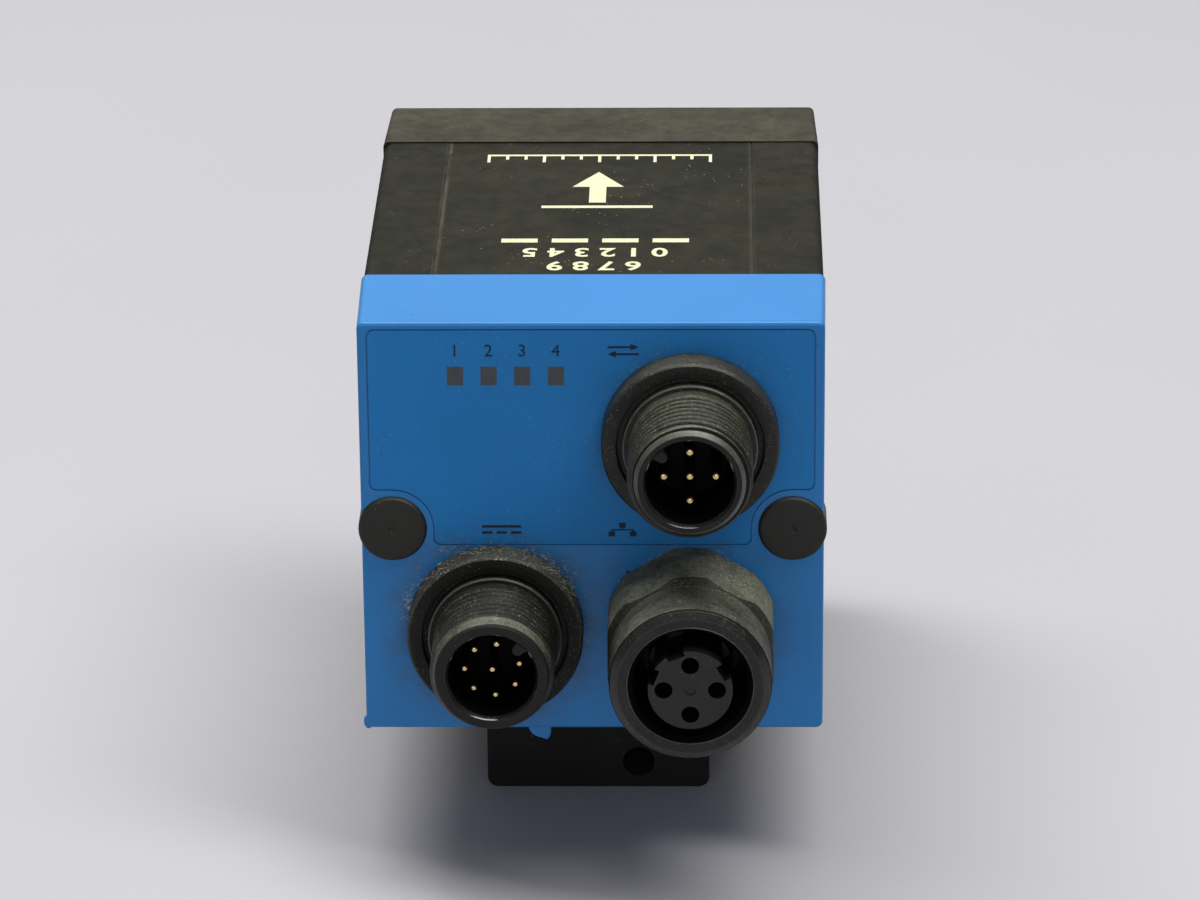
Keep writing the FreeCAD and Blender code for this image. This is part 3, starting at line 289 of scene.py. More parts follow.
def glass(name, tint, rough=0.02, coat=0.0, spec=0.5):
    m = Mat(name)
    n = m.noise(160, 5.0, 0.6)
    r = m.math("MULTIPLY_ADD", m.step(n, 0.55, 0.8), 0.10, rough)
    m.finish(m.mix(m.step(m.noise(80, 2.0), 0.3, 0.7), tuple(t * 0.97 for t in tint), tint), r, 0.0, None)
    m.b.inputs["Transmission Weight"].default_value = 1.0
    m.b.inputs["IOR"].default_value = 1.5
    m.b.inputs["Coat Weight"].default_value = coat
    m.b.inputs["Specular IOR Level"].default_value = spec
    MATS[name] = m.m
    return m.m


CONNECTORS = ((-0.0095, 0.0248, 0.00855, 1.0), (0.0095, 0.0247, 0.0082, 0.55), (0.0095, 0.0448, 0.00855, 0.35))


def halo(m, col, amount, reach=0.0018, dust_col=(0.36, 0.40, 0.40), near_dark_col=(0.045, 0.055, 0.055)):
    """Greyer, darker tone on the rear face round the connectors, and fine pale dirt gathered there."""
    x, z = m.place("X"), m.place("Z")
    total, soft = None, None
    for cx, cz, cr, w in CONNECTORS:
        dx = m.math("SUBTRACT", x, cx)
        dz = m.math("SUBTRACT", z, cz)
        dist = m.math("SQRT", m.math("ADD", m.math("MULTIPLY", dx, dx), m.math("MULTIPLY", dz, dz)))
        near = m.math("MULTIPLY", m.step(dist, cr + reach * (0.5 + 0.5 * w), cr), w)
        near = m.math("MULTIPLY", near, m.step(z, cz - 0.002, cz + 0.003))
        wide = m.math("MULTIPLY", m.step(dist, cr + 0.0042, cr), w)
        total = near if total is None else m.math("MAXIMUM", total, near)
        soft = wide if soft is None else m.math("MAXIMUM", soft, wide)
    # greyer, darker tone spread round the connectors
    g = m.math("MULTIPLY", m.math("MULTIPLY", soft, m.step(m.noise(420, 4.0, 0.65), 0.25, 0.75)), 0.75 * amount)
    col = m.mix(g, col, near_dark_col)
    n = m.step(m.noise(2900, 5.0, 0.8), 0.52, 0.62)
    n = m.math("MULTIPLY", n, m.step(m.noise(420, 2.0, 0.5), 0.42, 0.62))
    f = m.math("MULTIPLY", m.math("MULTIPLY", n, total), amount, clamp=True)
    return m.mix(f, col, dust_col)


BLUE = (0.0095, 0.168, 0.462)
plastic("blue_plastic", BLUE, rough=0.36, var=0.035, var_scale=60, grain=3000, grain_s=0.10, rough_var=0.06,
        specks=0.25, speck_col=(0.08, 0.20, 0.33), speck_scale=1300, nicks=0.95, wear=0.10, spec=0.36, face_dirt_and_darkening=0.85)
plastic("label_film", (0.0085, 0.172, 0.475), rough=0.46, var=0.045, var_scale=70, grain=4200, grain_s=0.12,
        specks=0.7, speck_col=(0.12, 0.26, 0.36), speck_scale=1700, spec=0.22, face_dirt_and_darkening=0.60)
plastic("smoked_film", (0.052, 0.060, 0.064), rough=0.34, var=0.12, var_scale=1500, grain=5000, grain_s=0.08, spec=0.3)
m = Mat("clear_plastic")
m.finish(m.mix(m.noise(400), (0.75, 0.76, 0.74), (0.9, 0.9, 0.88)), m.math("MULTIPLY_ADD", m.noise(900), 0.1, 0.12), 0.0,
         m.bump(m.noise(1500), 0.1, 0.00002))
m.b.inputs["Transmission Weight"].default_value = 0.6
MATS["clear_plastic"] = m.m
plastic("black_plastic", (0.0165, 0.0165, 0.0150), rough=0.50, grain=3200, grain_s=0.35, dust=0.25, dust_up=(0.3, 1.0),
        film=0.03, specks=0.25, speck_col=(0.12, 0.12, 0.10), speck_scale=1500, spec=0.25)
plastic("black_casing", (0.0088, 0.0090, 0.0078), rough=0.62, var=0.14, var_scale=90, grain=3600, grain_s=0.45,
        grain_h=0.00004, dust=0.12, dust_up=(0.4, 1.0), dust_scale=500, film=0.02, specks=0.3,
        speck_col=(0.12, 0.12, 0.10), speck_scale=1500, wear=0.12, spec=0.055, film_edges=0.30)
plastic("frame_casing", (0.0130, 0.0133, 0.0100), rough=0.58, var=0.14, var_scale=90, grain=3200, grain_s=0.55,
        grain_h=0.00004, dust=0.30, dust_up=(0.3, 1.0), dust_scale=600, film=0.03, specks=0.3,
        speck_col=(0.13, 0.13, 0.10), speck_scale=1400, wear=0.12, spec=0.14)
plastic("top_film", (0.0084, 0.0086, 0.0074), rough=0.60, var=0.10, var_scale=60, grain=4200, grain_s=0.25, dust=0.13,
        dust_up=(0.4, 1.0), dust_scale=420, film=0.015, specks=0.5, speck_col=(0.16, 0.16, 0.13), speck_scale=1300,
        wear=0.15, spec=0.055, film_edges=0.30)
plastic("seal_rubber", (0.010, 0.010, 0.010), rough=0.7, grain=2500, grain_s=0.3, film=0.05, spec=0.25)
glass("window_glass", (0.96, 0.98, 0.98))
metal("steel", (0.55, 0.55, 0.54), 0.34, grain=2200)
CONN = (0.0110, 0.0110, 0.0104)
DUST = (0.150, 0.150, 0.098)
plastic("black_connector", CONN, rough=0.42, var=0.15, var_scale=300, grain=2600, grain_s=0.30,
        dust=0.24, dust_up=(0.10, 0.95), dust_scale=1500, dust_col=DUST, film=0.02, specks=0.9, speck_scale=2600,
        speck_col=(0.24, 0.24, 0.18), spec=0.26, grit=0.30)
plastic("power_plastic", (0.0088, 0.0088, 0.0082), rough=0.50, var=0.18, var_scale=300, grain=2200, grain_s=0.45,
        dust=0.06, dust_up=(0.05, 0.95), dust_scale=1300, dust_col=DUST, film=0.03, specks=1.1, speck_scale=2600,
        speck_col=(0.24, 0.23, 0.17), spec=0.14, grit=0.22)
plastic("flange_dust", CONN, rough=0.52, var=0.18, var_scale=300, grain=2200, grain_s=0.55,
        dust=0.32, dust_up=(-0.35, 0.70), dust_scale=1500, dust_col=(0.19, 0.19, 0.145), film=0.04, specks=1.2,
        speck_scale=2600, speck_col=(0.34, 0.33, 0.26), spec=0.20, grit=0.9)
# dust on the thread crests, with a lighter colour there as a painted highlight where the crests catch light
plastic("thread_crest_dust_and_highlight", (0.018, 0.018, 0.0155), rough=0.42, var=0.25, var_scale=700, grain=2600, grain_s=0.30,
        dust=0.52, dust_up=(0.0, 0.90), dust_scale=1800, dust_col=(0.20, 0.20, 0.14), spec=0.32, grit=0.5)
plastic("data_crest_dust_and_highlight", (0.0150, 0.0150, 0.0130), rough=0.44, var=0.25, var_scale=700, grain=2600, grain_s=0.30,
        dust=0.34, dust_up=(0.0, 0.90), dust_scale=1800, dust_col=(0.185, 0.185, 0.115), spec=0.20, grit=0.50)
plastic("power_crest_dust_and_highlight", (0.0105, 0.0105, 0.0092), rough=0.47, var=0.30, var_scale=700, grain=2600, grain_s=0.40,
        dust=0.12, dust_up=(0.0, 0.90), dust_scale=1400, dust_col=(0.18, 0.18, 0.125), spec=0.18, grit=0.55)
# painted shade: a darker colour in the thread roots and the small grooves and steps of the connectors
plastic("groove_painted_shade", (0.0060, 0.0060, 0.0055), rough=0.55, var=0.15, var_scale=300, grain=2600, grain_s=0.30,
        dust=0.06, dust_up=(0.2, 0.95), dust_scale=1500, dust_col=DUST, spec=0.12)
# heavy pale dust on the LAN hex, made paler still as painted light where the data connector shades it
plastic("lan_plastic", CONN, rough=0.52, var=0.15, var_scale=300, grain=2600, grain_s=0.50,
        dust=0.92, dust_up=(-0.35, 0.45), dust_scale=1900, dust_col=(0.245, 0.245, 0.172), film=0.08, specks=1.3,
        speck_scale=2800, speck_col=(0.36, 0.36, 0.27), spec=0.22, grit=0.95, grit_col=(0.36, 0.36, 0.27))
plastic("lan_cone", (0.0085, 0.0085, 0.0080), rough=0.45, var=0.15, var_scale=300, grain=2600, grain_s=0.40,
        dust=0.22, dust_up=(0.0, 0.80), dust_scale=1500, dust_col=DUST, film=0.03, specks=0.9, speck_scale=2800,
        speck_col=(0.22, 0.22, 0.16), spec=0.22, grit=0.45)
plastic("lan_collar", (0.0105, 0.0105, 0.0098), rough=0.46, var=0.15, var_scale=300, grain=2600, grain_s=0.40,
        dust=0.60, dust_up=(-0.05, 0.80), dust_scale=1700, dust_col=(0.18, 0.18, 0.127), film=0.05, specks=1.1,
        speck_scale=2800, speck_col=(0.28, 0.28, 0.21), spec=0.26, grit=0.75)
# painted highlight: lighter colour on thin rings at the rim lips and the collar chamfer, with some dust
plastic("connector_edge_painted_highlight", (0.045, 0.045, 0.040), rough=0.34, var=0.25, var_scale=600, grain=3000, grain_s=0.25,
        dust=0.30, dust_up=(0.1, 0.9), dust_scale=1500, spec=0.5, grit=0.3)
plastic("rim_face", (0.0125, 0.0130, 0.0130), rough=0.46, var=0.12, var_scale=500, grain=3000, grain_s=0.20, film=0.02,
        specks=0.7, speck_col=(0.13, 0.13, 0.11), speck_scale=2600, spec=0.16)
plastic("lan_chamfer", (0.0090, 0.0090, 0.0088), rough=0.28, var=0.20, var_scale=400, grain=2600, grain_s=0.20,
        film=0.03, dust=0.12, dust_up=(0.2, 0.9), dust_scale=1500, dust_col=DUST, specks=0.9,
        speck_col=(0.18, 0.18, 0.14), speck_scale=2600, spec=0.42, grit=0.25)
plastic("lan_rim", (0.0075, 0.0075, 0.0073), rough=0.34, var=0.20, var_scale=400, grain=2600, grain_s=0.25, film=0.03,
        specks=0.9, speck_col=(0.15, 0.15, 0.12), speck_scale=2600, spec=0.30, grit=0.15)
plastic("gloss_lip", (0.016, 0.016, 0.015), rough=0.13, var=0.10, var_scale=500, grain=3000, grain_s=0.05,
        rough_var=0.05, spec=0.9)
# painted shade: near-black colour down the connector bores and on the pin discs, where little light gets in
plastic("bore_painted_shade", (0.0030, 0.0030, 0.0030), rough=0.50, grain=3000, grain_s=0.15, spec=0.08)
metal("gold", (0.80, 0.60, 0.30), 0.20, grain=3000, tarnish=0.25)
# painted shade: near-black gold for the pin shafts down the bore
metal("gold_painted_shade", (0.050, 0.036, 0.016), 0.50, grain=3000, tarnish=0.4, tarnish_col=(0.01, 0.008, 0.005))
plastic("insert_plastic", (0.005, 0.005, 0.005), rough=0.45, grain=3000, grain_s=0.2, spec=0.2)
# socket face: the flanks of the LAN insert get a near-black painted shade
plastic("socket_face", (0.0165, 0.0165, 0.0158), rough=0.42, grain=2600, grain_s=0.2, film=0.03, specks=0.6,
        speck_col=(0.15, 0.15, 0.13), speck_scale=2600, spec=0.25, painted_flank_shade=(0.0035, 0.0035, 0.0035))
metal("nickel", (0.62, 0.60, 0.56), 0.28, grain=2200)
plastic("chip", (0.02, 0.02, 0.022), rough=0.35, grain=4000, grain_s=0.2)
metal("chassis_alu", (0.60, 0.60, 0.60), 0.48, grain=900, grain_s=0.4)
metal("carriage_alu", (0.52, 0.52, 0.52), 0.36, grain=1200)
plastic("black_alu", (0.018, 0.018, 0.018), rough=0.38, grain=2600, grain_s=0.15)
glass("lens_glass", (0.90, 0.94, 1.0), rough=0.0, coat=0.6)
metal("brass", (0.78, 0.58, 0.26), 0.30, grain=1800, tarnish=0.2)
plastic("clamp_black", (0.0060, 0.0060, 0.0063), rough=0.42, var=0.15, var_scale=120, grain=2400, grain_s=0.25,
        film=0.02, dust=0.15, dust_up=(0.4, 1.0), specks=0.3, speck_col=(0.08, 0.08, 0.07), wear=0.2, spec=0.22)
plastic("cream_print", lin(205, 205, 170), rough=0.60, var=0.05, var_scale=300, grain=3000, grain_s=0.15,
        film=0.12, dust_col=(0.26, 0.25, 0.19), spec=0.15)
plastic("label_print", (0.008, 0.017, 0.040), rough=0.5, var=0.1, var_scale=500, grain=3000, grain_s=0.1, spec=0.2)
plastic("dust_fibre", (0.27, 0.26, 0.19), rough=0.9, var=0.25, var_scale=800, grain=3000, grain_s=0.3, spec=0.1)
m = Mat("board")
trace = m.step(m.noise(700, 1.0, 0.3, stretch=(1.0, 1.0, 0.25)), 0.48, 0.52)
m.finish(m.mix(trace, (0.012, 0.10, 0.035), (0.02, 0.16, 0.06)), 0.32, 0.0, m.bump(trace, 0.3, 0.00003))
MATS["board"] = m.m
m = Mat("led_white")
m.finish(m.mix(m.step(m.noise(900), 0.4, 0.6), (0.80, 0.78, 0.55), (0.88, 0.86, 0.70)), 0.25, 0.0,
         m.bump(m.noise(1500), 0.1, 0.00002))
MATS["led_white"] = m.m
OWN = {"lan_connector_insert": "socket_face", "front_frame": "frame_casing"}

for sub in frame["record"]["subparts"]:
    o = NODES[sub["node"]]
    mt = MATS[sub["material_slot"]]
    if sub["node"] in OWN:
        mt = MATS[OWN[sub["node"]]]
    if len(o.data.materials) == 0:
        o.data.materials.append(mt)
    for i in range(len(o.data.materials)):
        o.data.materials[i] = mt


# ------------------------------------------------------------ mesh helpers
def make(name, verts, faces, mat, body="camera", sharp=38.0, recalc=True, levels=0):
    me = bpy.data.meshes.new(name)
    me.from_pydata([(float(v[0]) * MM, (float(v[1]) + DY) * MM, float(v[2]) * MM) for v in verts], [],
                   [tuple(int(i) for i in f) for f in faces])
    me.validate()
    if recalc:
        bm = bmesh.new()
        bm.from_mesh(me)
        bmesh.ops.recalc_face_normals(bm, faces=bm.faces)
        bm.to_mesh(me)
        bm.free()
    me.polygons.foreach_set("use_smooth", [True] * len(me.polygons))
    me.set_sharp_from_angle(angle=math.radians(sharp))
    me.materials.append(MATS[mat])
    ob = bpy.data.objects.new(name, me)
    SCN.collection.objects.link(ob)
    if levels:
        sub = ob.modifiers.new("smooth", "SUBSURF")
        sub.levels = sub.render_levels = levels
    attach(ob, body)
    return ob


def rounded(pts, closed=True, steps=4):
    """pts: (r, y, radius).  Returns (r, y) with each corner rounded."""
    out = []
    n = len(pts)
    for i in range(n):
        p = np.array(pts[i][:2], float)
        rad = pts[i][2] if len(pts[i]) > 2 else 0.0
        if rad <= 0 or (not closed and i in (0, n - 1)):
            out.append(tuple(p))
            continue
        a = np.array(pts[i - 1][:2], float) - p
        b = np.array(pts[(i + 1) % n][:2], float) - p
        la, lb = np.linalg.norm(a), np.linalg.norm(b)
        a /= la
        b /= lb
        ang = math.acos(max(-1, min(1, float(a @ b))))
        if ang < 0.05 or ang > 3.09:
            out.append(tuple(p))
            continue
        t = min(rad / math.tan(ang / 2), 0.45 * la, 0.45 * lb)
        r = t * math.tan(ang / 2)
        c = p + (a + b) / np.linalg.norm(a + b) * (r / math.sin(ang / 2))
        s, e = p + a * t, p + b * t
        v0, v1 = s - c, e - c
        full = math.acos(max(-1, min(1, float(v0 @ v1) / (np.linalg.norm(v0) * np.linalg.norm(v1)))))
        for k in range(steps + 1):
            f = k / steps
            w0 = math.sin((1 - f) * full) / math.sin(full)
            w1 = math.sin(f * full) / math.sin(full)
            out.append(tuple(c + v0 * w0 + v1 * w1))
    return out


def densify(pts, step, inside=None, fine=None, closed=True):
    out = []
    n = len(pts)
    for i in range(n if closed else n - 1):
        a, b = np.array(pts[i]), np.array(pts[(i + 1) % n])
        s = step
        if inside and inside(*((a + b) / 2)):
            s = fine
        k = max(1, int(math.ceil(np.linalg.norm(b - a) / s)))
        for j in range(k):
            out.append(tuple(a + (b - a) * j / k))
    if not closed:
        out.append(tuple(pts[-1]))
    return out


def lathe(name, prof, cx, cz, n, mat, body="camera", warp=None, closed=True, caps=False, sharp=38.0, slot=None,
          zones=()):
    """Turned mesh about an axis along Y through (cx, cz).  zones: (material, test(r, y)) by profile segment."""
    prof = np.array(prof, float)
    th = np.arange(n) * 2 * math.pi / n
    r = np.repeat(prof[:, 0][:, None], n, 1)
    y = np.repeat(prof[:, 1][:, None], n, 1)
    t = np.repeat(th[None, :], len(prof), 0)
    if warp:
        r, y = warp(r, y, t)
    v = np.stack([cx + r * np.cos(t), y, cz + r * np.sin(t)], -1).reshape(-1, 3)
    rad = np.asarray(r).reshape(-1)
    faces = []
    m = len(prof)
    for i in range(m if closed else m - 1):
        a, b = i * n, ((i + 1) % m) * n
        for j in range(n):
            k = (j + 1) % n
            faces.append((a + j, a + k, b + k, b + j))
    if caps and not closed:
        faces.append(tuple(range(n)))
        faces.append(tuple(range((m - 1) * n, m * n)))
    ob = make(name, v, faces, mat, body, sharp)
    for zmat, test in zones:
        idx = len(ob.data.materials)
        ob.data.materials.append(MATS[zmat])
        for i in range(m if closed else m - 1):
            for j in range(n):
                a, b2 = i * n + j, ((i + 1) % m) * n + (j + 1) % n
                if test((rad[a] + rad[b2]) / 2, (v[a][1] + v[b2][1]) / 2):
                    ob.data.polygons[i * n + j].material_index = idx
    return ob


def smooth01(x):
    x = np.clip(x, 0, 1)
    return x * x * (3 - 2 * x)


def thread_wave(y, t, pitch):
    """0 at the crest, 1 at the root of a 60 degree thread with flats."""
    ph = (y / pitch + t / (2 * math.pi)) % 1.0
    tri = 1 - np.abs(2 * ph - 1)
    return smooth01((tri - 0.12) / 0.70)


def wobble(t, y, seed, ft=(1, 2, 3, 5, 8), fy=0.7):
    """Smooth pseudo-random field over angle and length, about -1..1."""
    rs = np.random.default_rng(seed)
    out = np.zeros_like(t)
    for f in ft:
        out += np.sin(f * t + rs.uniform(0, 6.28) + fy * rs.uniform(0.5, 2.0) * y) * rs.uniform(0.4, 1.0)
    return out / len(ft)


# --------------------------------------------------------- M12 connectors
FACE = -25.6
POWER = (-9.5, 24.8)
LAN = (9.5, 24.7)
DATA = (9.5, 44.8)


TIP = FACE - 12.2


def male_shell(name, cx, cz, depth, wear, seed):
    fl, ty, co = FACE - 3.0, TIP, FACE - 3.4
    pts = [(4.22, -18.0, 0), (6.5, -18.0, 0.1), (6.5, FACE, 0), (6.9, FACE, 0), (6.9, FACE - 0.5, 0),
           (7.6, FACE - 0.5, 0), (7.6, FACE, 0), (8.55, FACE, 0.12), (8.55, fl + 0.28, 0.10), (8.32, fl, 0.08),
           (7.1, fl, 0.10), (7.1, fl + 0.9, 0.08), (6.5, fl + 0.9, 0.05), (6.5, co + 0.12, 0.03), (6.36, co, 0.03),
           (5.99, co, 0.03), (5.99, co - 1.0, 0.0), (5.99, ty + 1.3, 0.0), (5.74, ty + 0.86, 0.03)]
    if wear < 0.5:
        pts += [(5.64, ty + 0.80, 0.02), (5.28, ty + 0.70, 0.03), (5.32, ty + 0.50, 0.03), (4.94, ty + 0.05, 0.04)]
    else:
        pts += [(5.50, ty + 0.36, 0.03), (5.43, ty + 0.22, 0.02), (5.40, ty + 0.14, 0.04), (5.30, ty + 0.04, 0.04)]
    pts += [(4.86, ty, 0.03), (4.50, ty, 0.08), (4.235, ty + 0.46, 0.08)]
    y_hi, y_lo = co - 1.0, ty + 0.95

    def in_thread(r, y):
        return r > 5.7 and y_lo - 0.4 < y < y_hi + 0.1

    prof = densify(rounded(pts), 1.2, in_thread, 0.07)

    def warp(r, y, t):
        zone = (r > 5.6) & (r < 6.05) & (y < y_hi + 0.02) & (y > y_lo - 0.30)
        env = smooth01((y_hi - y) / 0.5) * smooth01((y - (y_lo - 0.30)) / 0.25)
        d = depth * thread_wave(y, t, 1.0) * env
        if wear > 0:
            w = 0.5 + 0.5 * wobble(t, y, seed)
            front = smooth01((y_hi - 2.2 - y) / 1.6)
            d = d * (1 - wear * np.clip(0.30 + 0.75 * front + 0.25 * (w - 0.5), 0, 1))
            nick = np.clip(wobble(t, y, seed + 1, (9, 17, 23, 31), 5.0), 0, 1) ** 2
            d = d + 0.10 * wear * nick * env
            # two torn ridges spreading apart on the right
            k = np.exp(-((t - 0.55) / 0.42) ** 2)
            for y0, sl in ((ty + 2.1, 1.5), (ty + 3.0, 1.1)):
                yy = y0 + sl * (0.75 - t)
                d = d + wear * (0.26 * np.exp(-((y - yy) / 0.13) ** 2) - 0.10 * np.exp(-((y - yy - 0.3) / 0.16) ** 2)) * k
        return np.where(zone, r - d, r), y

    # edge is the painted highlight colour for thin rims and chamfers
    edge, base = "connector_edge_painted_highlight", "power_plastic" if wear > 0.5 else "black_connector"
    return lathe(name, prof, cx, cz, 176, base, warp=warp, slot="black_connector", zones=[
        # painted shade down the bore, behind the gloss lip
        ("bore_painted_shade", lambda r, y: r < 4.28 and y > ty + 0.44),
        ("gloss_lip", lambda r, y: r < 4.54 and y <= ty + 0.44),
        (edge, lambda r, y: 6.3 < r < 6.52 and co - 0.02 < y < co + 0.16),
        ("flange_dust", lambda r, y: wear > 0.5 and r > 8.28 and co < y < FACE + 0.1),
        # crests: dust and a painted highlight
        ("power_crest_dust_and_highlight" if wear > 0.5 else "data_crest_dust_and_highlight",
         lambda r, y: r > (5.955 if wear > 0.5 else 5.90) and ty + 1.1 < y < co - 0.9),
        ("thread_crest_dust_and_highlight", lambda r, y: 5.47 < r < 6.25 and ty + (0.38 if wear > 0.5 else 0.78) < y <= ty + 1.25),
        # painted shade in the thread roots and grooves
        ("groove_painted_shade", lambda r, y: 5.5 < r < (5.74 if wear > 0.5 else 5.78) and ty + 1.2 < y < co - 0.9),
        ("groove_painted_shade", lambda r, y: wear < 0.5 and r < 5.62 and ty + 0.48 < y < ty + 0.84),
        (edge, lambda r, y: wear < 0.5 and 4.92 < r < 5.36 and y < ty + 0.52),
        ("groove_painted_shade", lambda r, y: wear > 0.5 and 5.39 < r < 5.47 and y < ty + 0.32),
        ("rim_face", lambda r, y: 4.50 < r < (5.395 if wear > 0.5 else 4.94) and y < ty + 0.16)])


data_shell = male_shell("data_shell_turned", *DATA, 0.34, 0.12, 3)
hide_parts("data_connector_shell")
power_shell = male_shell("power_shell_turned", *POWER, 0.36, 0.80, 11)
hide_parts("power_connector_shell")


def lan_shell():
    ly, hx = FACE - 14.0, FACE - 7.1
    pts = [(4.9, -18.0, 0), (6.5, -18.0, 0.1), (6.5, FACE, 0), (6.9, FACE, 0), (6.9, FACE - 0.5, 0),
           (7.6, FACE - 0.5, 0), (7.6, FACE, 0), (8.42, FACE, 0.1), (8.42, hx, 0.12), (7.93, hx - 0.80, 0.05), (7.80, hx - 0.92, 0.05),
           (7.80, ly + 0.66, 0.04), (7.70, ly + 0.58, 0.02), (7.70, ly + 0.46, 0.08), (7.05, ly + 0.02, 0.06),
           (6.92, ly, 0.04), (6.14, ly + 0.16, 0.03), (6.08, ly + 0.06, 0.02), (6.00, ly + 0.12, 0.03),
           (5.52, ly + 0.75, 0.10), (5.52, -30.0, 0.05),
           (4.9, -30.0, 0)]

    def fine(r, y):
        return (r < 5.6 and y < -30.6) or (r > 7.82 and y > hx - 1.2)

    prof = densify(rounded(pts), 1.2, fine, 0.11)

    def warp(r, y, t):
        hexr = 8.0 / np.cos((t + math.radians(30)) % math.radians(60) - math.radians(30))
        base = (r > 7.81) & (y <= FACE + 0.001) & (y > hx - 1.2)
        soft = -np.log(np.exp(-16 * r) + np.exp(-16 * np.maximum(hexr, 7.82))) / 16 + 0.02
        r2 = np.where(base, np.minimum(soft, r), r)
        inner = (np.abs(r - 5.52) < 0.01) & (y < -30.8) & (y > ly + 1.2)
        env = smooth01((-30.8 - y) / 0.5) * smooth01((y - (ly + 1.2)) / 0.5)
        return np.where(inner, r + 0.38 * thread_wave(y, t, 1.0) * env, r2), y

    return lathe("lan_shell_turned", prof, *LAN, 240, "lan_plastic", warp=warp, slot="black_connector", sharp=50,
                 zones=[("lan_cone", lambda r, y: hx - 1.14 < y < hx + 0.02
                         and abs(r - (8.42 - (hx - y) / 0.80 * 0.49)) < 0.035),
                        ("lan_collar", lambda r, y: 7.7 < r < 7.86 and ly + 0.6 < y < hx - 0.86),
                        # painted shade down the LAN bore
                        ("bore_painted_shade", lambda r, y: (r < 5.98 and ly + 0.16 < y < -29.9) or r < 5.0),
                        ("groove_painted_shade", lambda r, y: 7.68 < r < 7.80 and ly + 0.44 < y < ly + 0.70),
                        ("lan_chamfer", lambda r, y: 6.98 < r < 7.72 and y < ly + 0.47),
                        ("lan_rim", lambda r, y: 5.98 <= r <= 6.98 and y < ly + 0.75),
                        # painted highlight on the lip ring of the LAN rim
                        ("connector_edge_painted_highlight", lambda r, y: 5.98 < r < 6.13 and y < ly + 0.32)])


lan = lan_shell()
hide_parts("lan_connector_shell")


def pin_set(name, node, cx, cz, r, pcr, angles, centre, tip, tail, mat="gold"):
    """Pins with rounded noses, one mesh."""
    verts, faces = [], []
    n = 20
    at = [(cx + pcr * math.cos(math.radians(a)), cz + pcr * math.sin(math.radians(a))) for a in angles]
    if centre:
        at.append((cx, cz))
    prof = [(r * math.sin(k * math.pi / 12), tip + r * 0.9 * (1 - math.cos(k * math.pi / 12))) for k in range(1, 7)]
    prof += [(r, tip + 3), (r, tail - 0.2), (r * 0.8, tail)]
    for px, pz in at:
        b = len(verts)
        for pr, py in prof:
            for j in range(n):
                t = 2 * math.pi * j / n
                verts.append((px + pr * math.cos(t), py, pz + pr * math.sin(t)))
        for i in range(len(prof) - 1):
            for j in range(n):
                k = (j + 1) % n
                faces.append((b + i * n + j, b + i * n + k, b + (i + 1) * n + k, b + (i + 1) * n + j))
        faces.append(tuple(b + j for j in range(n)))
        faces.append(tuple(b + (len(prof) - 1) * n + j for j in range(n)))
    ob = make(name, verts, faces, mat, sharp=50)
    # the shafts behind the noses get the painted shade gold; only the noses stay bright gold
    ob.data.materials.append(MATS["gold_painted_shade"])
    for poly in ob.data.polygons:
        if poly.center.y * 1000 - DY > tip + 0.10:
            poly.material_index = 1
    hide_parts(node)
    return ob


pin_set("data_pins_turned", "data_connector_pins", *DATA, 0.5, 2.5, (0, 90, 180, 270), True, -36.0, -13.4)
pin_set("power_pins_turned", "power_connector_pins", *POWER, 0.4, 2.7,
        (80.5, 129.3, 178.1, 226.9, 275.7, 324.5, 13.3), True, -36.0, -13.4)


def insert_piece(name, node, cx, cz, ang, wide):
    """Moulded insert of a male connector: the disc that carries the pins, and the key rib up to the rim."""
    verts, faces = [], []
    n = 96
    ring = [(0.02, -29.4), (3.4, -29.4), (4.20, -29.4), (4.20, -29.0), (4.20, -17.4), (4.1, -17.2), (0.02, -17.2)]
    for rr, yy in ring:
        for j in range(n):
            t = 2 * math.pi * j / n
            verts.append((cx + rr * math.cos(t), yy, cz + rr * math.sin(t)))
    for i in range(len(ring) - 1):
        for j in range(n):
            k = (j + 1) % n
            faces.append((i * n + j, i * n + k, (i + 1) * n + k, (i + 1) * n + j))
    faces.append(tuple(range(n)))
    faces.append(tuple(range((len(ring) - 1) * n, len(ring) * n)))
    t = math.radians(ang)
    ur = np.array([math.cos(t), math.sin(t)])
    ut = np.array([-math.sin(t), math.cos(t)])
    sec = [(4.34, -wide * 0.66), (4.05, -wide * 0.55)]
    for k in range(13):
        a = math.radians(-90 + 15 * k)
        sec.append((3.72 - 0.5 * wide * math.cos(a), 0.5 * wide * math.sin(a)))
    sec += [(4.05, wide * 0.55), (4.34, wide * 0.66)]
    ys = [-29.2, TIP + 0.32, TIP + 0.20, TIP + 0.14]
    shrink = [0, 0, 0.04, 0.12]
    b = len(verts)
    for y, sh in zip(ys, shrink):
        for rr, tt in sec:
            p = np.array([cx, cz]) + ur * (rr + (sh if rr < 4 else 0)) + ut * tt * (1 - sh)
            verts.append((p[0], y, p[1]))
    n = len(sec)
    for i in range(len(ys) - 1):
        for j in range(n):
            k = (j + 1) % n
            faces.append((b + i * n + j, b + i * n + k, b + (i + 1) * n + k, b + (i + 1) * n + j))
    faces.append(tuple(b + j for j in range(n)))
    faces.append(tuple(b + (len(ys) - 1) * n + j for j in range(n)))
    first_rib = (len(ring) - 1) * 96 + 2
    # the disc takes the painted bore shade; the key rib takes the rim face colour
    ob = make(name, verts, faces, "bore_painted_shade", sharp=60)
    ob.data.materials.append(MATS["rim_face"])
    for i in range(first_rib, len(ob.data.polygons)):
        ob.data.polygons[i].material_index = 1
    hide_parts(node)
    return ob


insert_piece("data_insert_moulded", "data_connector_insert", *DATA, 135.0, 1.12)
insert_piece("power_insert_moulded", "power_connector_insert", *POWER, 47.5, 1.12)


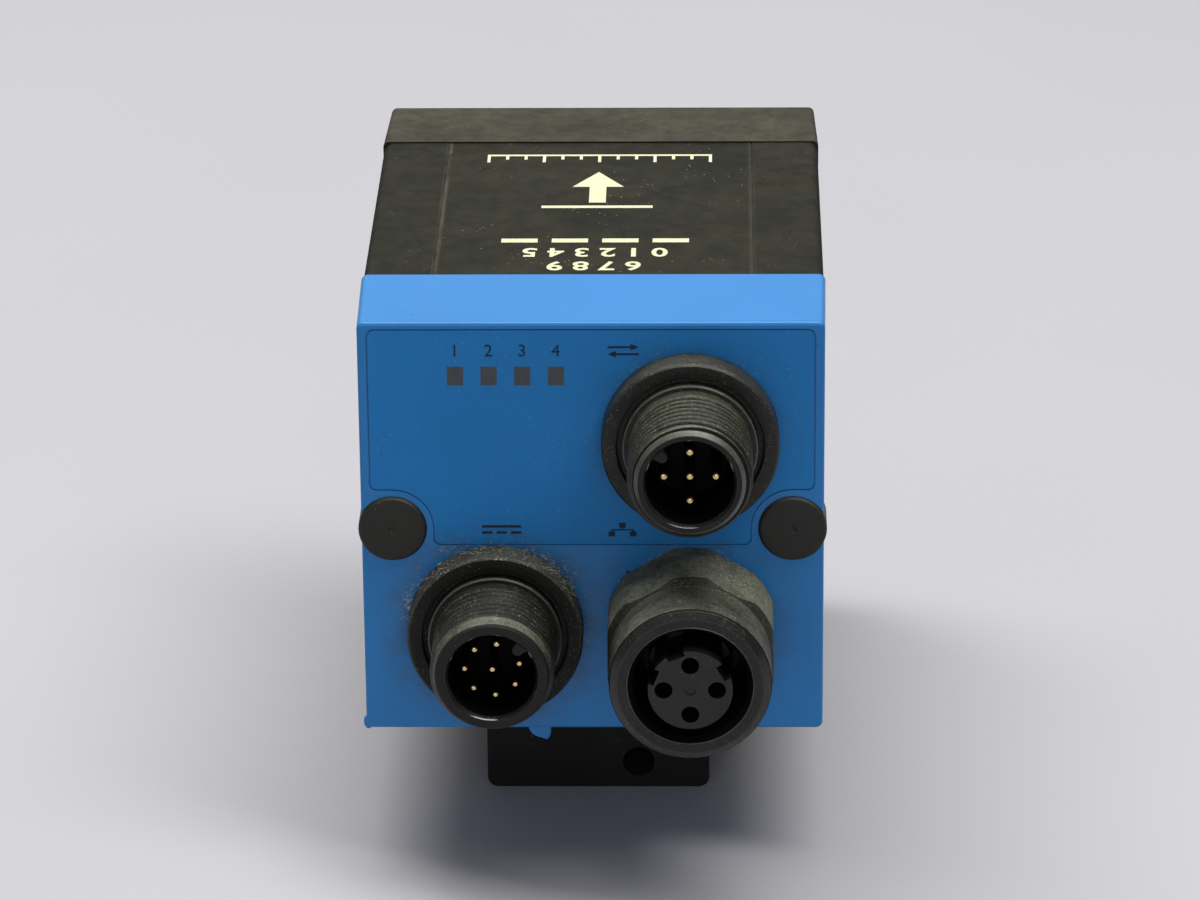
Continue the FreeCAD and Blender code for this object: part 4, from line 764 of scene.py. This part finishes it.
def fuzz(name, count, seed):
    """Short lint fibres caught round the flange of the power connector."""
    rnd = random.Random(seed)
    verts, faces = [], []
    cx, cz = POWER
    for _ in range(count):
        t = math.radians(rnd.choice([rnd.gauss(38, 17), rnd.gauss(118, 24), rnd.gauss(78, 40)]))
        rr = 8.55 + rnd.uniform(-0.25, 0.25)
        p = np.array([cx + rr * math.cos(t), rnd.uniform(-28.5, -26.0), cz + rr * math.sin(t)])
        out = np.array([math.cos(t), 0.0, math.sin(t)])
        along = np.array([-math.sin(t), 0.0, math.cos(t)]) * rnd.choice([-1, 1])
        d = out * rnd.uniform(0.1, 0.7) + along * rnd.uniform(0.4, 1.0) + np.array([0, rnd.uniform(-0.5, 0.2), 0])
        d /= np.linalg.norm(d)
        bend = (out * rnd.uniform(-0.5, 0.7) + np.array([0, rnd.uniform(-0.6, 0.4), 0])) * 0.8
        length, rad = rnd.uniform(0.35, 1.2), rnd.uniform(0.018, 0.034)
        b = len(verts)
        steps = 5
        for k in range(steps):
            u = k / (steps - 1) * length
            c = p + d * u + bend * u * u * 0.5
            side = np.cross(d, out)
            side /= np.linalg.norm(side) + 1e-9
            up = np.cross(side, d)
            w = rad * (1.0 if 0 < k < steps - 1 else 0.5)
            for q in range(4):
                a = math.pi / 2 * q
                verts.append(tuple(c + side * w * math.cos(a) + up * w * math.sin(a)))
        for k in range(steps - 1):
            for q in range(4):
                e = (q + 1) % 4
                faces.append((b + k * 4 + q, b + k * 4 + e, b + (k + 1) * 4 + e, b + (k + 1) * 4 + q))
        faces.append((b, b + 1, b + 2, b + 3))
        faces.append(tuple(b + (steps - 1) * 4 + q for q in range(4)))
    return make(name, verts, faces, "dust_fibre", sharp=60)


fuzz("flange_lint", 90, 5)


# ------------------------------------------------------------------ plugs
def plug(name, node, cx, cz, body, seed):
    top = FACE - 0.4
    pts = [(0.02, top + 0.10, 0), (0.26, top + 0.10, 0.03), (0.34, top + 0.02, 0.05), (0.5, top, 0.05), (2.98, top, 0.0),
           (3.12, top + 0.02, 0.08), (3.3, top + 0.26, 0.12), (3.3, FACE + 3.6, 0.05), (3.0, FACE + 4.0, 0.05),
           (0.02, FACE + 4.0, 0)]
    prof = densify(rounded(pts, closed=False), 0.8, closed=False)
    ob = lathe(name, prof, cx, cz, 96, "black_plastic", body, closed=False, caps=True, slot="black_plastic")
    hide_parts(node)
    return ob


plug("left_plug_moulded", "plug_left", -19.4, 35.15, "plug_left", 1)
plug("right_plug_moulded", "plug_right", 19.4, 35.15, "plug_right", 2)


# -------------------------------------------------- blue flash and corner lump
def slab(name, outline, y0, y1, mat, bevel=0.12, body="camera", axis="Y"):
    """Closed outline in XZ (or XY) drawn out along the other axis, edges bevelled."""
    n = len(outline)
    if axis == "Y":
        verts = [(a, y0, b) for a, b in outline] + [(a, y1, b) for a, b in outline]
    else:
        verts = [(a, b, y0) for a, b in outline] + [(a, b, y1) for a, b in outline]
    faces = [tuple(range(n)), tuple(range(2 * n - 1, n - 1, -1))]
    faces += [(i, (i + 1) % n, n + (i + 1) % n, n + i) for i in range(n)]
    ob = make(name, verts, faces, mat, body, 38.0)
    if bevel > 0:
        b = ob.modifiers.new("edge", "BEVEL")
        b.width = bevel * MM
        b.segments = 3
        b.limit_method = "ANGLE"
        b.angle_limit = math.radians(50)
    return ob


flash = []
for k in range(9):
    a = math.radians(180 + 10 * k)
    flash.append((-5.05 + 1.45 * math.cos(a), 13.95 + 1.35 * math.sin(a)))
flash += [(-4.75, 12.42), (-4.55, 12.50), (-4.38, 12.75), (-4.30, 13.1), (-4.28, 13.95)]
slab("cover_flash", flash, -25.35, -24.55, "blue_plastic", 0.16)
slab("corner_flash", [(-22.55, 14.9), (-22.70, 14.5), (-22.68, 14.0), (-22.45, 13.62), (-22.15, 13.55), (-21.9, 13.72),
                      (-21.8, 14.0), (-22.1, 14.6)], -25.3, -24.7, "blue_plastic", 0.15)


# ------------------------------------------------------------------- print
def flat_shapes(name, polys, mat, plane, depth=0.02, body="camera"):
    """Thin raised print.  polys: lists of (u, v); plane maps (u, v, w) to the row frame in mm."""
    verts, faces = [], []
    for poly in polys:
        b, n = len(verts), len(poly)
        verts += [plane(u, v, 0.0) for u, v in poly] + [plane(u, v, depth) for u, v in poly]
        faces += [tuple(b + i for i in range(n)), tuple(b + n + i for i in reversed(range(n)))]
        faces += [(b + i, b + (i + 1) % n, b + n + (i + 1) % n, b + n + i) for i in range(n)]
    return make(name, verts, faces, mat, body, 30.0)


def numeral(s, size, u, v, turn=False, bold=0.0):
    """Outline meshes of numerals as (verts, faces) in the plane, centred at (u, v)."""
    cu = bpy.data.curves.new("t", "FONT")
    cu.body = s
    cu.size = size
    cu.align_x = "CENTER"
    cu.align_y = "CENTER"
    cu.extrude = 0.0
    cu.offset = bold * size
    cu.resolution_u = 6
    ob = bpy.data.objects.new("t", cu)
    SCN.collection.objects.link(ob)
    bpy.context.view_layer.update()
    me = bpy.data.meshes.new_from_object(ob.evaluated_get(bpy.context.evaluated_depsgraph_get()))
    vs = [(p.co.x, p.co.y) for p in me.vertices]
    fs = [tuple(f.vertices) for f in me.polygons]
    bpy.data.objects.remove(ob)
    bpy.data.meshes.remove(me)
    bpy.data.curves.remove(cu)
    if turn:
        vs = [(-a, -b) for a, b in vs]
    return [(a + u, b + v) for a, b in vs], fs


def print_text(name, items, mat, plane, depth=0.02, body="camera", turn=False, bold=0.0):
    """Numerals as thin closed raised meshes."""
    bm = bmesh.new()
    for s, size, u, v in items:
        vs, fs = numeral(s, size, u, v, turn, bold)
        part = bmesh.new()
        bv = [part.verts.new((Vector(plane(a, b, 0.0)) + Vector((0, DY, 0))) * MM) for a, b in vs]
        for f in fs:
            try:
                part.faces.new([bv[i] for i in f])
            except ValueError:
                pass
        bmesh.ops.remove_doubles(part, verts=part.verts, dist=1e-7)
        off = (Vector(plane(0, 0, depth)) - Vector(plane(0, 0, 0))) * MM
        geom = bmesh.ops.extrude_face_region(part, geom=part.faces[:])
        bmesh.ops.translate(part, verts=[g for g in geom["geom"] if isinstance(g, bmesh.types.BMVert)], vec=off)
        tmp = bpy.data.meshes.new("p")
        part.to_mesh(tmp)
        part.free()
        bm.from_mesh(tmp)
        bpy.data.meshes.remove(tmp)
    bmesh.ops.recalc_face_normals(bm, faces=bm.faces)
    me = bpy.data.meshes.new(name)
    bm.to_mesh(me)
    bm.free()
    me.materials.append(MATS[mat])
    ob = bpy.data.objects.new(name, me)
    SCN.collection.objects.link(ob)
    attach(ob, body)
    return ob


def rear_plane(u, v, w):
    return (u, -25.57 - w, v)


def top_plane(u, v, w):
    return (u, v, 56.43 + w)


def bar(u0, u1, v0, v1):
    return [(u0, v0), (u1, v0), (u1, v1), (u0, v1)]


LED_X = [-13.05 + 3.23 * i for i in range(4)]
print_text("status_numerals", [(str(i + 1), 1.75, x, 53.55) for i, x in enumerate(LED_X)], "label_print", rear_plane)
marks = []
# supply: a solid line over three dashes
u, v = -8.8, 35.0
marks += [bar(u - 1.9, u + 1.9, v + 0.22, v + 0.47)]
marks += [bar(u - 1.9 + 1.4 * k, u - 0.9 + 1.4 * k, v - 0.42, v - 0.17) for k in range(3)]
# data: two opposed arrows
u, v = 3.1, 53.6
for s, dv in ((1, 0.36), (-1, -0.36)):
    marks.append([(u - 1.5 * s, v + dv - 0.10), (u + 0.7 * s, v + dv - 0.10), (u + 0.7 * s, v + dv + 0.10),
                  (u - 1.5 * s, v + dv + 0.10)])
    marks.append([(u + 0.7 * s, v + dv - 0.34), (u + 1.5 * s, v + dv), (u + 0.7 * s, v + dv + 0.34)])
# network: three nodes joined by lines
u, v = 2.9, 35.0
marks += [bar(u - 0.32, u + 0.32, v + 0.20, v + 0.72), bar(u - 1.35, u - 0.71, v - 0.72, v - 0.20),
          bar(u + 0.71, u + 1.35, v - 0.72, v - 0.20), bar(u - 0.07, u + 0.07, v - 0.02, v + 0.22),
          bar(u - 1.10, u + 1.10, v - 0.09, v + 0.05), bar(u - 1.10, u - 0.96, v - 0.22, v - 0.07),
          bar(u + 0.96, u + 1.10, v - 0.22, v - 0.07)]
flat_shapes("connector_marks", marks, "label_print", rear_plane)

# generic print on the top: a tick scale, an axis arrow and rows of plain numerals
tops = []
for k in range(13):
    x = -11.4 + 1.9 * k
    tall = 1.9 if k % 3 == 0 else 1.05
    tops.append(bar(x - 0.16, x + 0.16, 22.3 - tall, 22.3))
tops.append(bar(-11.56, 11.56, 22.3, 22.75))
tops += [[(-2.6, 12.9), (0.0, 17.4), (2.6, 12.9)], bar(-0.85, 0.85, 8.2, 12.9), bar(-5.6, 5.6, 6.6, 7.3)]
for k in range(4):
    tops.append(bar(-9.3 + 5.0 * k, -5.7 + 5.0 * k, -3.4, -2.3))
flat_shapes("top_marks", tops, "cream_print", top_plane)
print_text("top_numerals", [("0 1 2 3 4 5", 3.3, 0.0, -6.1), ("6 7 8 9", 3.3, 0.0, -9.9)], "cream_print", top_plane,
           turn=True, bold=0.022)

# --------------------------------------------------------------- lamp domes
verts, faces = [], []
for i in range(8):
    t = math.radians(45 * i + 22.5)
    lx, lz = 12.6 * math.cos(t), 35.15 + 12.6 * math.sin(t)
    b = len(verts)
    n = 24
    rings = [(1.05, 29.2), (1.05, 29.35), (0.98, 29.62), (0.80, 29.88), (0.52, 30.06), (0.2, 30.14)]
    for rr, yy in rings:
        for j in range(n):
            a = 2 * math.pi * j / n
            verts.append((lx + rr * math.cos(a), yy, lz + rr * math.sin(a)))
    for r_ in range(len(rings) - 1):
        for j in range(n):
            k = (j + 1) % n
            faces.append((b + r_ * n + j, b + r_ * n + k, b + (r_ + 1) * n + k, b + (r_ + 1) * n + j))
    faces.append(tuple(b + (len(rings) - 1) * n + j for j in range(n)))
    faces.append(tuple(b + j for j in range(n)))
make("lamp_domes", verts, faces, "clear_plastic", sharp=60)

# ------------------------------------------------------------ stage, light
me = bpy.data.meshes.new("floor")
me.from_pydata([(-1.5, -1.5, 0), (1.5, -1.5, 0), (1.5, 2.5, 0), (-1.5, 2.5, 0)], [], [(0, 1, 2, 3)])
floor = bpy.data.objects.new("floor", me)
SCN.collection.objects.link(floor)
fm = Mat("floor_mat")
fm.finish(fm.mix(fm.step(fm.noise(6, 3.0), 0.3, 0.7), (0.406, 0.401, 0.428), (0.420, 0.415, 0.442)), 0.55, 0.0, None)
fm.b.inputs["Specular IOR Level"].default_value = 0.25
me.materials.append(fm.m)

world = bpy.data.worlds.new("world")
SCN.world = world
world.use_nodes = True
bg = world.node_tree.nodes["Background"]
bg.inputs["Color"].default_value = (0.97, 0.98, 1.0, 1.0)
bg.inputs["Strength"].default_value = 0.14


def area(name, loc, target, size, power, color=(1, 1, 1)):
    d = bpy.data.lights.new(name, "AREA")
    d.shape = "RECTANGLE"
    d.size, d.size_y = size
    d.energy = power
    d.color = color
    o = bpy.data.objects.new(name, d)
    SCN.collection.objects.link(o)
    o.location = loc
    o.rotation_euler = (Vector(target) - Vector(loc)).to_track_quat("-Z", "Y").to_euler()
    return o


area("key", (0.02, 0.035, 0.95), (0, 0, 0.02), (1.45, 0.36), 17.7, (1.0, 0.99, 0.97))
area("front_soft", (-0.05, -1.00, 0.34), (0, 0, 0.03), (0.9, 0.35), 2.0, (0.98, 0.99, 1.0))
area("back_wall", (0.0, 1.25, 0.52), (0, 0, 0.05), (1.6, 0.6), 2.6, (0.97, 0.98, 1.0))
